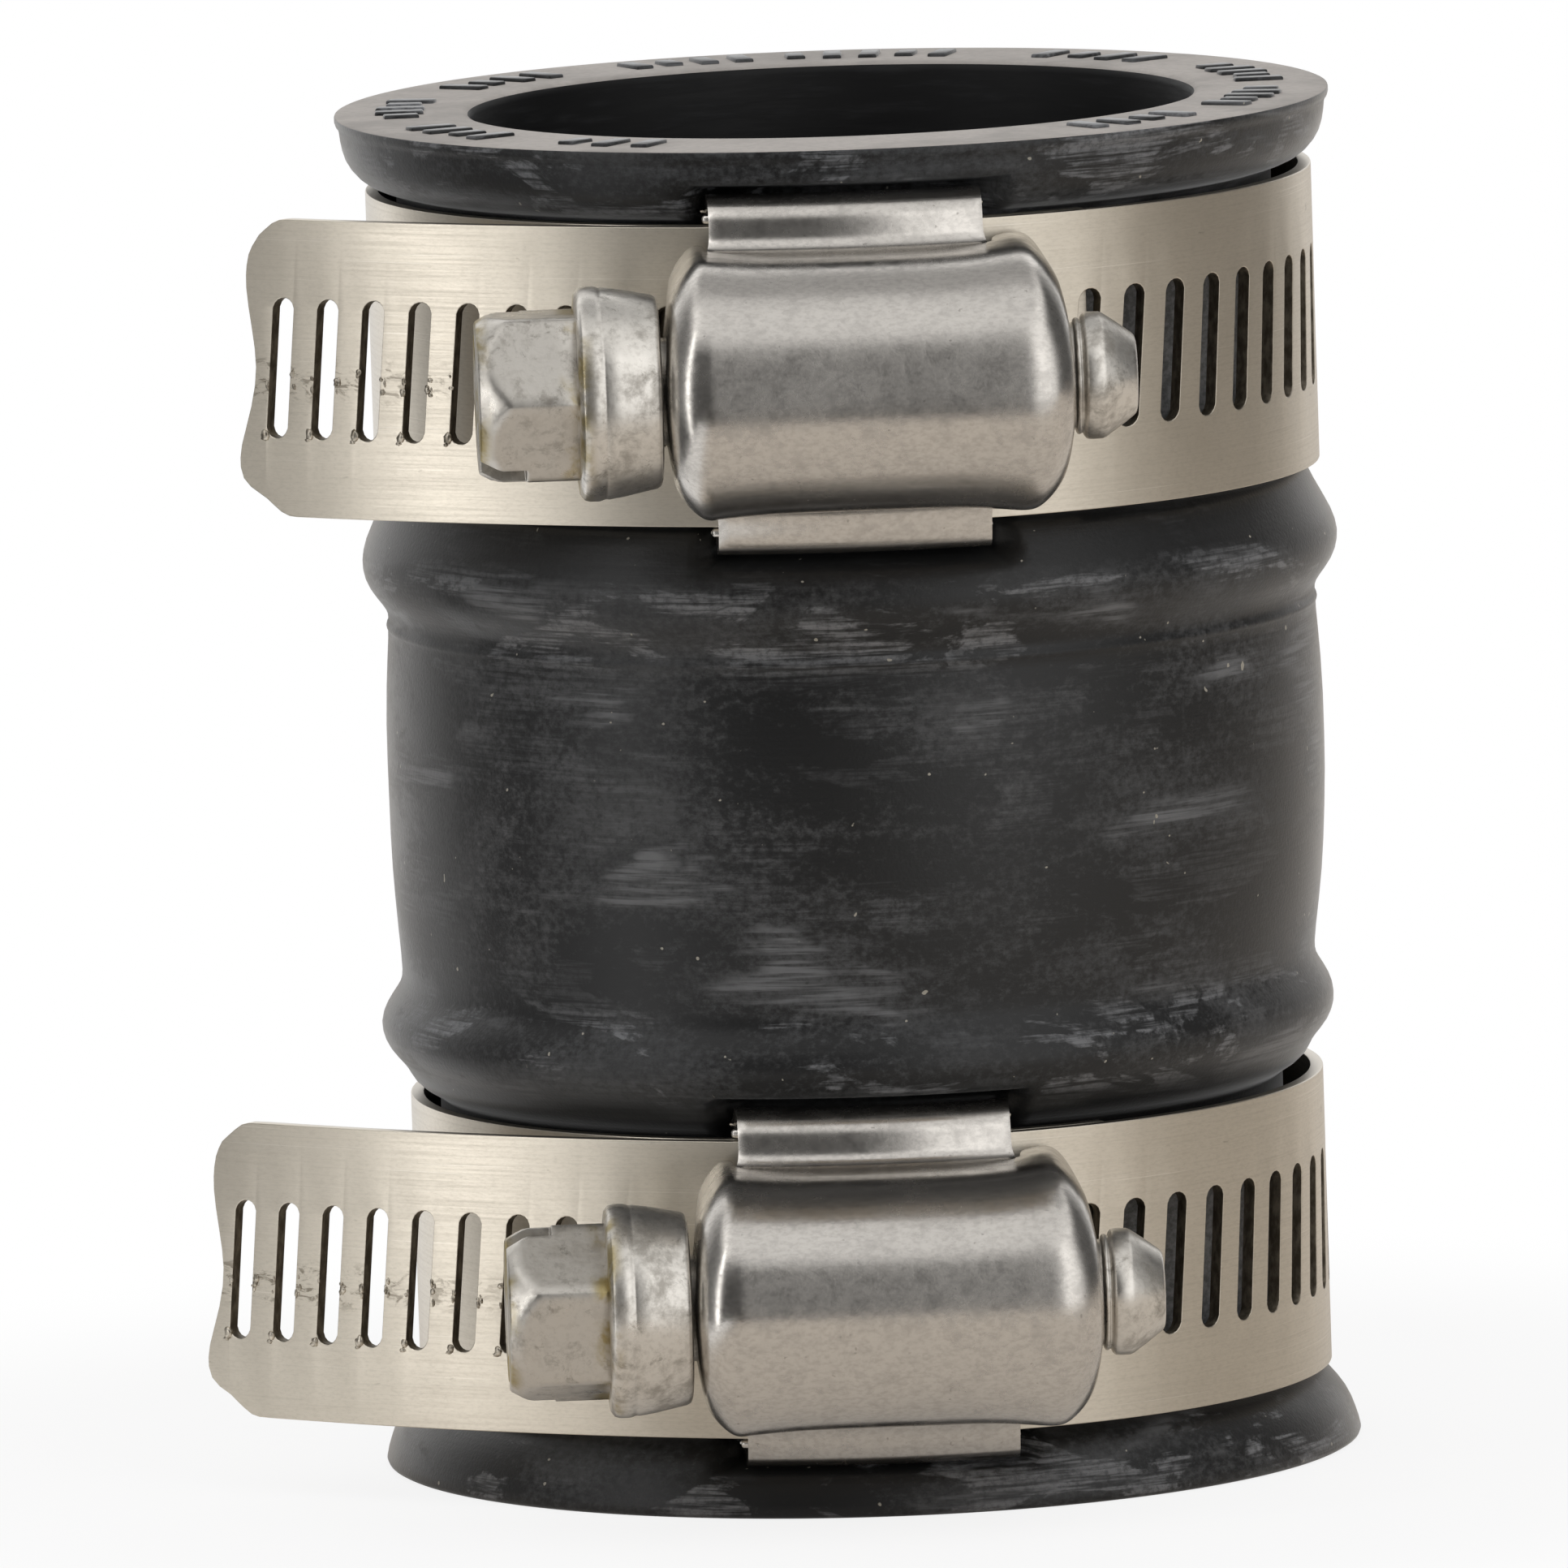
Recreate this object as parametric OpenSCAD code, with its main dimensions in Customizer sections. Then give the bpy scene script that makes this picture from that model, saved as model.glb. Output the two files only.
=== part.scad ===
// Flexible pipe coupling: a moulded rubber sleeve with a worm-drive clamp round each end.
// Millimetres, +Z along the sleeve, origin at the centre of the lower end face, screws at the front (-Y).

/* [Sleeve] */
// Length of the sleeve
sleeve_len = 73; // [68:0.5:90]
// Outside diameter of the pipes that it joins
pipe_d = 38.1; // [32:0.1:40]
// Radial play between a pipe and its socket
pipe_play = 0.25; // [0.1:0.05:0.4]
// Depth of each pipe socket
socket_depth = 26; // [20:0.5:30]
// Radial depth of the relief between the sockets
relief_depth = 0.8; // [0.3:0.1:1.5]
// Rounding of the two mouths
mouth_round = 0.5; // [0.3:0.1:1]
// Radius of the upper lip
upper_lip_r = 26.6; // [26.2:0.1:28]
// Radius of the lower lip
lower_lip_r = 26.2; // [25.6:0.1:28]
// Width of a lip, from the end face to the clamp seat
lip_w = 3.95; // [3.5:0.05:6]
// Rounding of a lip's outer edge
lip_round = 0.5; // [0.3:0.1:1]
// Bulge of a lip's flank
lip_bulge = 0.3; // [0.1:0.05:0.5]
// Height of a lip's step beside the band, above the band's own surface
lip_step = 0.05; // [0:0.05:0.3]
// Bare strip of seat between a band and its bead
seat_strip = 1.2; // [0.8:0.1:2]
// Radius of the upper bead
upper_bead_r = 26.1; // [25.7:0.1:27]
// Width of the upper bead
upper_bead_w = 5.5; // [4:0.1:7]
// Radius of the lower bead
lower_bead_r = 25.55; // [25.2:0.05:27]
// Width of the lower bead
lower_bead_w = 4.8; // [4:0.1:7]
// Body radius below the upper bead
body_top_r = 24.95; // [24:0.05:25.5]
// Body radius where it is widest
body_mid_r = 25.15; // [24:0.05:25.6]
// Body radius above the lower bead
body_low_r = 24.5; // [24:0.05:25.2]

/* [Clamp bands] */
// Width of a band
band_w = 15.9; // [12.7:0.1:17]
// Thickness of a band
band_t = 0.7; // [0.5:0.05:0.8]
// Radius of the seat under the upper band
upper_seat_r = 23.8; // [23:0.1:24.2]
// Radius of the seat under the lower band
lower_seat_r = 23.0; // [22.6:0.1:24.2]
// Length of the upper band from the screw to the end of its tail
upper_tail = 35.9; // [30:0.1:45]
// Length of the lower band from the screw to the end of its tail
lower_tail = 40.2; // [30:0.1:45]
// Angle round the sleeve at which a tail leaves it
tail_angle = 28; // [25:1:35]
// Angle from the screw to the hidden start of a band
start_angle = 29; // [22:1:30]
// Chamfer on the corners of a tail's end
tail_chamfer = 2.1; // [1:0.1:3]
// Depth of the hollow in a tail's end
tail_hollow = 0.8; // [0.3:0.1:1.2]
// Distance between slots along the band
slot_pitch = 2.86; // [2.6:0.02:3.2]
// Length of a slot
slot_l = 7.5; // [6:0.1:8]
// Width of a slot
slot_w = 1.35; // [1.25:0.05:1.5]
// Slots from the screw round to the back of the band
slots_round = 25; // [15:1:26]
// Share of a pitch by which the upper slots lie right of the screw's middle
upper_phase = 0.3; // [0:0.05:0.95]
// Share of a pitch by which the lower slots lie right of the screw's middle
lower_phase = 0.7; // [0:0.05:0.95]

/* [Screws] */
// Hex size across flats
hex_af = 8.6; // [7.5:0.05:9.5]
// Length of the hex
hex_l = 5.2; // [4:0.1:7]
// Radius of the hex's end face, inside its chamfer
hex_end_r = 4; // [3:0.05:4.2]
// Width of the driver slot
drive_slot_w = 1.3; // [0.8:0.1:1.6]
// Depth of the driver slot
drive_slot_d = 2.4; // [1:0.1:3]
// Collar radius beside the hex
collar_r = 5.65; // [5.2:0.05:6]
// Collar radius beside the housing
collar_in_r = 5.05; // [4.2:0.05:5.3]
// Length of the collar
collar_l = 4.4; // [2:0.1:5]
// Radius of the thread's crest
thread_r = 5.1; // [4.8:0.05:5.3]
// Radius of the thread's root
root_r = 3.9; // [3.6:0.05:4]
// Width of the thread at its crest
crest_w = 0.5; // [0.4:0.05:0.6]
// Width of the thread at its root
base_w = 1.15; // [1:0.05:1.25]
// Radius of the necks that run in the housing
neck_r = 2.8; // [2.5:0.05:3]
// Radius of the swaged tip
tip_r = 3.35; // [3.2:0.05:3.6]
// Radius of the tip's end
tip_end_r = 2.05; // [1.5:0.05:2.5]
// Length of the tip outside the housing
tip_l = 3.4; // [2.5:0.1:5]
// Straight length of the tip before its cone
tip_lead = 1.3; // [0.6:0.1:1.8]
// Turn of the upper hex and its slot at rest
upper_hex_turn = -30; // [-60:5:60]
// Turn of the lower hex and its slot at rest
lower_hex_turn = 10; // [-60:5:60]

/* [Housings] */
// Length of a housing along the screw
housing_l = 21.5; // [20:0.1:24]
// Thickness of a housing's sheet
sheet_t = 0.9; // [0.7:0.05:1]
// Rounding of a housing's ends
end_round = 2.2; // [1.6:0.1:2.6]
// Length of the two tabs
tab_l = 14.4; // [12:0.1:16]
// How far the tabs' middle lies from the housing's, towards the tip
tab_shift = -0.65; // [-1:0.05:1]
// Thickness of a saddle
saddle_t = 0.6; // [0.5:0.05:0.7]
// How far a saddle's ends stand out beside the tabs
saddle_show = 0.35; // [0.2:0.05:0.6]
// Width of the hook that a tab turns under its saddle
hook_w = 1.6; // [1:0.1:2]
// Rounding of the tabs' outer edges
tab_round = 1.1; // [0.8:0.05:1.3]

/* [Fits] */
// Gap between a band and its rubber seat
seat_gap = 0.2; // [0.15:0.05:0.3]
// Gap between the layers of a clamp
layer_gap = 0.15; // [0.1:0.05:0.2]
// Gap beside a band's edges
edge_gap = 0.25; // [0.2:0.05:0.4]
// Gap round the screw's necks
neck_gap = 0.08; // [0.04:0.02:0.1]
// Gap between the thread and the housing's dome
dome_gap = 0.7; // [0.4:0.05:0.8]
// How far the thread reaches short of the band's inner face
thread_gap = 0.06; // [0.04:0.02:0.2]
// Gap round a fixed metal piece that beds into the rubber
bed_gap = 0.1; // [0.05:0.05:0.2]

/* [Travel] */
// Turns by which a screw can still be loosened
turns_loose = 2; // [1:1:2]
// Turns by which a screw can still be tightened
turns_tight = 4; // [1:1:4]

/* [Hidden] */
$fn = 96;
far = 60;
bite = 0.3;
lap = 0.1;
arc_steps = 8;
bore_r = pipe_d / 2 + pipe_play;
// Steps of the clamp's layers above the saddle's inner face, at the front
start_step = saddle_t + layer_gap;
drive_step = start_step + band_t + layer_gap;
top_step = drive_step + band_t;
tab_step = top_step + layer_gap;
// Heights of the clamps and of the beads
lower_z = lip_w + edge_gap + band_w / 2;
upper_z = sleeve_len - lower_z;
lower_bead_z = lower_z + band_w / 2 + seat_strip;
upper_bead_z = upper_z - band_w / 2 - seat_strip;
// Distance of a screw's axis above the saddle's inner face
screw_step = drive_step + thread_gap + thread_r;
dome_in = thread_r + dome_gap;
dome_out = dome_in + sheet_t;
// Angle left free past a band's start when the clamp is at its loosest
start_room = 4;
// Rings of the thread's ridge in each turn, and the turn over which its ends fade out
ridge_steps = 20;
ridge_fade = 60;
// Half width of the saddle's inside, and of the tabs round it
saddle_half = band_w / 2 + layer_gap;
tab_half = saddle_half + saddle_t + layer_gap + sheet_t;
// Depth of the tabs' hooks below the saddle's inner face
hook_step = layer_gap + sheet_t;

// One clamp's own sizes: saddle's inner radius, tail length, slot phase, hex turn, height
UPPER = [upper_seat_r + seat_gap, upper_tail, upper_phase, upper_hex_turn, upper_z];
LOWER = [lower_seat_r + seat_gap, lower_tail, lower_phase, lower_hex_turn, lower_z];

rubber = [0.16, 0.16, 0.17];
band_steel = [0.74, 0.70, 0.64];
housing_steel = [0.66, 0.66, 0.65];
screw_zinc = [0.56, 0.55, 0.52];

function inner_r(c) = c[0];
function tail_len(c) = c[1];
function slot_phase(c) = c[2];
function hex_turn(c) = c[3];
function clamp_z(c) = c[4];
function drive_r(c) = inner_r(c) + drive_step / 2;
function start_r(c) = inner_r(c) + start_step / 2;
function mid_r(c) = drive_r(c) + band_t / 2;
function slot_angle(c) = slot_pitch / mid_r(c) * 180 / PI;
function screw_y(c) = -(inner_r(c) + screw_step);
// How far the start layer, which has another centre, drifts when the band is drawn in
function start_drift(c) = (drive_step - start_step) * sin(turns_tight * slot_angle(c) / 2);

// Points of an arc through three points (a, b, c), without its first point
function arc_centre(a, b, c) =
    let (d = 2 * (a.x * (b.y - c.y) + b.x * (c.y - a.y) + c.x * (a.y - b.y)),
         sa = a * a, sb = b * b, sc = c * c)
    [(sa * (b.y - c.y) + sb * (c.y - a.y) + sc * (a.y - b.y)) / d,
     (sa * (c.x - b.x) + sb * (a.x - c.x) + sc * (b.x - a.x)) / d];
function turn_from(u, v) = atan2(u.x * v.y - u.y * v.x, u * v);
function arc_through(a, b, c) =
    let (m = arc_centre(a, b, c), u = a - m, sweep = turn_from(u, b - m) + turn_from(b - m, c - m))
    [for (i = [1 : arc_steps]) let (t = sweep * i / arc_steps)
        m + [u.x * cos(t) - u.y * sin(t), u.x * sin(t) + u.y * cos(t)]];

// Flat sector between two angles measured from the front, positive to the right
module sector(from, to) {
    polygon(concat([[0, 0]], [for (i = [0 : arc_steps])
        let (a = from + (to - from) * i / arc_steps) far * [sin(a), -cos(a)]]));
}

module ring(r, t) {
    difference() {
        circle(r + t);
        circle(r);
    }
}

// The sleeve before the clamps bed into it: lip, seat, bead, body, bead, seat and lip
module sleeve_blank() {
    edge_step = (start_step + drive_step) / 4 + band_t + lip_step;
    lower_edge = [inner_r(LOWER) + edge_step, lip_w];
    upper_edge = [inner_r(UPPER) + edge_step, sleeve_len - lip_w];
    lower_floor = inner_r(LOWER) + drive_step;
    upper_floor = inner_r(UPPER) + drive_step;
    lower_rim = [lower_lip_r, lip_round];
    upper_rim = [upper_lip_r, sleeve_len - lip_round];
    body_mid_z = (lower_bead_z + lower_bead_w + upper_bead_z - upper_bead_w) / 2;
    rotate_extrude()
        polygon(concat(
            [[bore_r + mouth_round, 0], [lower_lip_r - lip_round, 0], lower_rim],
            arc_through(lower_rim,
                (lower_rim + lower_edge) / 2 + lip_bulge * [1, 1], lower_edge),
            [[lower_floor, lip_w], [lower_floor, lower_bead_z], [body_low_r, lower_bead_z]],
            arc_through([body_low_r, lower_bead_z], [lower_bead_r, lower_bead_z + lower_bead_w / 2],
                [body_low_r, lower_bead_z + lower_bead_w]),
            arc_through([body_low_r, lower_bead_z + lower_bead_w], [body_mid_r, body_mid_z],
                [body_top_r, upper_bead_z - upper_bead_w]),
            arc_through([body_top_r, upper_bead_z - upper_bead_w],
                [upper_bead_r, upper_bead_z - upper_bead_w / 2], [body_top_r, upper_bead_z]),
            [[upper_floor, upper_bead_z], [upper_floor, sleeve_len - lip_w], upper_edge],
            arc_through(upper_edge, (upper_rim + upper_edge) / 2 + lip_bulge * [1, -1], upper_rim),
            [[upper_lip_r - lip_round, sleeve_len], [bore_r + mouth_round, sleeve_len],
             [bore_r, sleeve_len - mouth_round], [bore_r, sleeve_len - socket_depth],
             [bore_r + relief_depth, sleeve_len - socket_depth - relief_depth],
             [bore_r + relief_depth, socket_depth + relief_depth], [bore_r, socket_depth],
             [bore_r, mouth_round]]));
}

// What the rubber keeps inside one clamp's band, which is not quite round
module seat_core(c) {
    under_start = start_angle + turns_loose * slot_angle(c) + start_room;
    difference() {
        translate([0, -start_step / 2]) circle(start_r(c) - seat_gap - start_drift(c));
        sector(under_start, 180);
    }
    intersection() {
        translate([0, -drive_step / 2]) circle(drive_r(c) - seat_gap);
        sector(under_start, 180);
    }
}

// Everything that one clamp cuts from the rubber. end is +1 at the upper end and -1 at the lower one
module clamp_bed(c, end) {
    tab_mid = tab_centre(c);
    tab_turn = tab_span(c) / 2 + asin((saddle_show + bed_gap) / inner_r(c));
    inward = band_w / 2 + seat_strip;
    outward = band_w / 2 + edge_gap;
    translate([0, 0, clamp_z(c) - (end > 0 ? inward : outward)])
        linear_extrude(height = inward + outward)
            difference() {
                circle(far);
                seat_core(c);
            }
    translate([0, 0, clamp_z(c)]) {
        bed_half = tab_half + bed_gap;
        linear_extrude(height = 2 * bed_half, center = true)
            intersection() {
                ring(inner_r(c) - bed_gap, far);
                sector(tab_mid - tab_turn, tab_mid + tab_turn);
            }
        for (side = [-1, 1])
            translate([0, 0, side * (bed_half - (hook_w + 2 * bed_gap) / 2)])
                linear_extrude(height = hook_w + 2 * bed_gap, center = true)
                    intersection() {
                        ring(inner_r(c) - hook_step - bed_gap, far);
                        sector(tab_mid - tab_turn, tab_mid + tab_turn);
                    }
    }
}

// Angle of the tabs' middle, and the angle that they span
function tab_centre(c) = asin(tab_shift / inner_r(c));
function tab_span(c) = 2 * asin(tab_l / 2 / inner_r(c));

module rubber_sleeve() {
    color(rubber)
        difference() {
            sleeve_blank();
            clamp_bed(UPPER, 1);
            clamp_bed(LOWER, -1);
        }
}

// Places something at the tail, where x runs along it from the point at which it leaves the sleeve
module on_tail(c) {
    translate([0, -drive_step / 2])
        rotate(-tail_angle)
            translate([0, -drive_r(c) - band_t])
                children();
}

function tail_straight(c) = tail_len(c) - tail_angle * PI / 180 * mid_r(c);

// Edge view of a band: start layer, left side, right side, driven layer and tail
module band_outline(c) {
    intersection() {
        translate([0, -start_step / 2]) ring(start_r(c), band_t);
        sector(-180, start_angle);
    }
    intersection() {
        translate([0, -drive_step / 2]) ring(drive_r(c), band_t);
        sector_about(-tail_angle, 180);
    }
    on_tail(c)
        translate([-tail_straight(c), 0])
            square([tail_straight(c) + lap, band_t]);
}

module sector_about(from, to) {
    translate([0, -drive_step / 2]) sector(from, to);
}

// A slot with round ends that leans with the worm
module slot() {
    lean = atan(slot_pitch / (2 * PI * (thread_r - band_t)));
    rotate([0, lean, 0])
        rotate([90, 0, 0])
            linear_extrude(height = 4 * band_t, center = true) {
                square([slot_w, slot_l - slot_w], center = true);
                for (end = [-1, 1]) translate([0, end * (slot_l - slot_w) / 2]) circle(d = slot_w);
            }
}

module band(c) {
    straight = tail_straight(c);
    step = slot_angle(c);
    phase = slot_phase(c);
    bent_slots = floor(tail_angle / step + phase);
    first_straight = (ceil(tail_angle / step + phase) - phase) * slot_pitch
        - tail_angle * PI / 180 * mid_r(c);
    hollow_r = (pow(band_w / 2 - tail_chamfer, 2) + pow(tail_hollow, 2)) / (2 * tail_hollow);
    translate([0, 0, clamp_z(c)])
        difference() {
            linear_extrude(height = band_w, center = true) band_outline(c);
            for (k = [-bent_slots : slots_round])
                translate([0, -drive_step / 2, 0])
                    rotate([0, 0, (k + phase) * step])
                        translate([0, -mid_r(c), 0])
                            slot();
            translate([0, -drive_step / 2, 0])
                rotate([0, 0, -tail_angle])
                    translate([0, -mid_r(c), 0]) {
                        for (s = [first_straight : slot_pitch : straight - tail_hollow - slot_w])
                            translate([-s, 0, 0]) slot();
                        translate([-straight - hollow_r + tail_hollow, 0, 0])
                            rotate([90, 0, 0])
                                cylinder(r = hollow_r, h = 4 * band_t, center = true);
                        for (side = [-1, 1])
                            translate([-straight, 0, side * band_w / 2])
                                rotate([0, 45, 0])
                                    cube([tail_chamfer * sqrt(2), 4 * band_t, tail_chamfer * sqrt(2)],
                                        center = true);
                    }
        }
}

module upper_band() {
    color(band_steel) band(UPPER);
}

module lower_band() {
    color(band_steel) band(LOWER);
}

// The channel under the band, bent round the sleeve
module saddle(c) {
    show = 2 * asin(saddle_show / inner_r(c));
    span = tab_span(c) + show;
    out_half = saddle_half + saddle_t;
    translate([0, 0, clamp_z(c)])
        rotate([0, 0, tab_centre(c) - span / 2 - 90])
            rotate_extrude(angle = span)
                difference() {
                    translate([inner_r(c), -out_half]) square([drive_step + band_t / 2, 2 * out_half]);
                    translate([inner_r(c) + saddle_t, -saddle_half]) square([far, 2 * saddle_half]);
                }
}

module upper_saddle() {
    color(housing_steel) saddle(UPPER);
}

module lower_saddle() {
    color(housing_steel) saddle(LOWER);
}

// A rectangle with round corners, centred
module round_rect(w, h, r) {
    square([w - 2 * r, h], center = true);
    square([w, h - 2 * r], center = true);
    for (x = [-1, 1], y = [-1, 1])
        translate([x * (w / 2 - r), y * (h / 2 - r)]) circle(r);
}

// A dome along X over straight legs that run down to the sleeve, with round ends
module pillow(l, r, round_r, leg) {
    rotate([0, 90, 0])
        rotate(180)
            rotate_extrude(angle = 180)
                intersection() {
                    round_rect(2 * r, l, round_r);
                    translate([0, -l]) square([r, 2 * l]);
                }
    rotate([-90, 0, 0])
        linear_extrude(height = leg)
            round_rect(l, 2 * r, round_r);
}

// The space that a band moves through under its housing's legs, over the screw's whole travel
module band_way(c) {
    loosest = tail_angle - turns_loose * slot_angle(c);
    way_r = drive_r(c) + band_t + layer_gap + sheet_t / 2;
    translate([0, -drive_step / 2, 0]) {
        cylinder(r = way_r, h = far, center = true);
        rotate([0, 0, -loosest])
            translate([-far, -way_r, -far / 2])
                cube([far, way_r, far]);
    }
}

module tabs(c) {
    span = tab_span(c);
    flange_in = dome_in + sheet_t / 2;
    inner_half = saddle_half + saddle_t + layer_gap;
    hook_in = tab_half - hook_w;
    rotate([0, 0, tab_centre(c) - span / 2 - 90])
        rotate_extrude(angle = span)
            difference() {
                translate([inner_r(c) + (tab_step + sheet_t - hook_step) / 2, 0])
                    round_rect(tab_step + sheet_t + hook_step, 2 * tab_half, tab_round);
                translate([inner_r(c) - layer_gap, -inner_half])
                    square([tab_step + layer_gap, 2 * inner_half]);
                translate([inner_r(c) + tab_step - bite, -flange_in]) square([far, 2 * flange_in]);
                translate([inner_r(c) - far / 2, -hook_in]) square([far / 2 + tab_step, 2 * hook_in]);
            }
}

module housing(c) {
    leg = screw_step - start_step;
    translate([0, 0, clamp_z(c)]) {
        difference() {
            translate([0, screw_y(c), 0])
                difference() {
                    pillow(housing_l, dome_out, end_round, leg);
                    pillow(housing_l - 2 * sheet_t, dome_in, end_round - sheet_t, far);
                    rotate([0, 90, 0])
                        cylinder(r = neck_r + neck_gap, h = 2 * housing_l, center = true);
                }
            band_way(c);
        }
        tabs(c);
    }
}

module upper_housing() {
    color(housing_steel) housing(UPPER);
}

module lower_housing() {
    color(housing_steel) housing(LOWER);
}

// The worm's ridge along Z, crossing the angle 90 at height phase, between two heights
module ridge(phase, from, to) {
    sink = 0.3;
    first = 90 + 360 * (from - phase) / slot_pitch;
    last = 90 + 360 * (to - phase) / slot_pitch;
    count = round((last - first) / 360 * ridge_steps);
    base_slope = (base_w - crest_w) / 2 / (thread_r - root_r);
    foot = base_w / 2 + sink * base_slope;
    rings = [for (i = [0 : count])
        let (a = first + (last - first) * i / count,
             h = phase + slot_pitch * (a - 90) / 360,
             full = min(1, min(a - first, last - a) / ridge_fade),
             r = root_r - sink / 2 + (thread_r - root_r + sink / 2) * full)
        [for (p = [[root_r - sink, -foot], [r, -crest_w / 2], [r, crest_w / 2], [root_r - sink, foot]])
            [p.x * cos(a), p.x * sin(a), h + p.y]]];
    points = [for (one = rings) for (p = one) p];
    sides = [for (i = [0 : count - 1], j = [0 : 3])
        let (a = 4 * i + j, b = 4 * i + (j + 1) % 4)
        each [[a, b, b + 4], [a, b + 4, a + 4]]];
    polyhedron(points, concat([[3, 2, 1, 0]], sides,
        [[4 * count, 4 * count + 1, 4 * count + 2, 4 * count + 3]]));
}

// A screw along Z: slotted hex, collar, neck, worm, neck and swaged tip
module screw(c) {
    wall = housing_l / 2;
    collar_z = -wall - layer_gap;
    hex_z = collar_z - collar_l - hex_l;
    worm = wall - sheet_t - layer_gap;
    translate([0, screw_y(c), clamp_z(c)])
        rotate([0, 90, 0]) {
            difference() {
                translate([0, 0, hex_z])
                    intersection() {
                        rotate(hex_turn(c)) cylinder(d = hex_af / cos(30), h = hex_l + bite, $fn = 6);
                        cylinder(r1 = hex_end_r, r2 = hex_end_r + (hex_l + bite) * tan(30), h = hex_l + bite);
                    }
                translate([0, 0, hex_z])
                    rotate(hex_turn(c))
                        cube([3 * hex_af, drive_slot_w, 2 * drive_slot_d], center = true);
            }
            translate([0, 0, collar_z - collar_l])
                cylinder(r1 = collar_r, r2 = collar_in_r, h = collar_l);
            translate([0, 0, collar_z - bite])
                cylinder(r = neck_r, h = 2 * wall + layer_gap + 2 * bite);
            translate([0, 0, -worm]) cylinder(r = root_r, h = 2 * worm);
            ridge(slot_phase(c) * slot_pitch, -worm + base_w, worm - base_w);
            translate([0, 0, wall + bite]) cylinder(r = tip_r, h = tip_lead);
            translate([0, 0, wall + bite + tip_lead])
                cylinder(r1 = tip_r, r2 = tip_end_r, h = tip_l - bite - tip_lead);
        }
}

module upper_screw() {
    color(screw_zinc) screw(UPPER);
}

module lower_screw() {
    color(screw_zinc) screw(LOWER);
}

rubber_sleeve();
upper_band();
upper_housing();
upper_saddle();
upper_screw();
lower_band();
lower_housing();
lower_saddle();
lower_screw();
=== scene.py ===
import math
import random

import bmesh
import bpy
from mathutils import Matrix, Vector


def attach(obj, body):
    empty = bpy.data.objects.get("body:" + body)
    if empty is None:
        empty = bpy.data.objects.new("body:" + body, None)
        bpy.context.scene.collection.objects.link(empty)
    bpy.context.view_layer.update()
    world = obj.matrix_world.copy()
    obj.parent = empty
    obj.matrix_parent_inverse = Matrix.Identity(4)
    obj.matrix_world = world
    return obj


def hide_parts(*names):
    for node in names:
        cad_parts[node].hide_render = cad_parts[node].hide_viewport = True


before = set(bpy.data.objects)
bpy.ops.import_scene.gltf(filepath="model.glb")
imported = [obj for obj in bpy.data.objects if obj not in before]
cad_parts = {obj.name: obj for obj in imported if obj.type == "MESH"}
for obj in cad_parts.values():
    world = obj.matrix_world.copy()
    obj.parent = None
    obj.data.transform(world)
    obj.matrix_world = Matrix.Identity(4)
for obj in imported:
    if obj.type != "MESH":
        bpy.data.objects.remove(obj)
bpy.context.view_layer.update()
mm = 0.001

# both clamps, in millimetres: height of the middle, radius under the saddle, strip left of the screw
clamps = {
    "upper": {"z": 60.85, "seat": 24.0, "tail": 35.9, "phase": 0.3, "hexTurn": -30.0, "way": 26.1},
    "lower": {"z": 12.15, "seat": 23.2, "tail": 40.2, "phase": 0.7, "hexTurn": 10.0, "way": 25.3},
}
layers = {"start": 0.75, "drive": 1.6, "screw": 6.76, "hook": 1.05}


def blend01(low, high, value):
    t = min(1.0, max(0.0, (value - low) / (high - low)))
    return t * t * (3 - 2 * t)


def between(points, at):
    # straight reading of a short table of (place, value)
    for (a, va), (b, vb) in zip(points, points[1:]):
        if at <= b:
            return va + (vb - va) * max(0.0, (at - a) / (b - a))
    return points[-1][1]


def chain(bm, points, closed=False):
    verts = [bm.verts.new(p) for p in points]
    pairs = list(zip(verts, verts[1:])) + ([(verts[-1], verts[0])] if closed else [])
    return verts, [bm.edges.new(p) for p in pairs]


def vertsOf(geom):
    return [g for g in geom if isinstance(g, bmesh.types.BMVert)]


def edgesOf(geom):
    return [g for g in geom if isinstance(g, bmesh.types.BMEdge)]


def makeObject(name, bm, materials):
    mesh = bpy.data.meshes.new(name)
    bm.to_mesh(mesh)
    bm.free()
    for material in materials:
        mesh.materials.append(material)
    made = bpy.data.objects.new(name, mesh)
    bpy.context.scene.collection.objects.link(made)
    return made


def makePiece(name, bm, materials, body, node=None):
    # the bmesh is in millimetres
    bmesh.ops.scale(bm, vec=(mm, mm, mm), verts=bm.verts)
    piece = makeObject(name, bm, materials)
    piece.data.polygons.foreach_set("use_smooth", [True] * len(piece.data.polygons))
    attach(piece, body)
    if node:
        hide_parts(node)
    return piece


def addSubdivision(piece, levels):
    made = piece.modifiers.new("smooth", "SUBSURF")
    made.levels = made.render_levels = levels


def addWall(piece, thick, offset):
    made = piece.modifiers.new("wall", "SOLIDIFY")
    made.thickness = thick * mm
    made.offset = offset
    made.use_even_offset = True
    return made


def addEdgeRound(piece, width, segments, angle):
    made = piece.modifiers.new("edgeRound", "BEVEL")
    made.width = width * mm
    made.segments = segments
    made.limit_method = "ANGLE"
    made.angle_limit = math.radians(angle)


def addEvenShade(piece):
    # broad faces keep their own direction beside their rounded edges
    made = piece.modifiers.new("evenShade", "WEIGHTED_NORMAL")
    made.weight = 80


def startMaterial(name):
    material = bpy.data.materials.new(name)
    material.use_nodes = True
    tree = material.node_tree
    shader = tree.nodes["Principled BSDF"]
    place = tree.nodes.new("ShaderNodeTexCoord")
    return material, tree, shader, place


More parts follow.
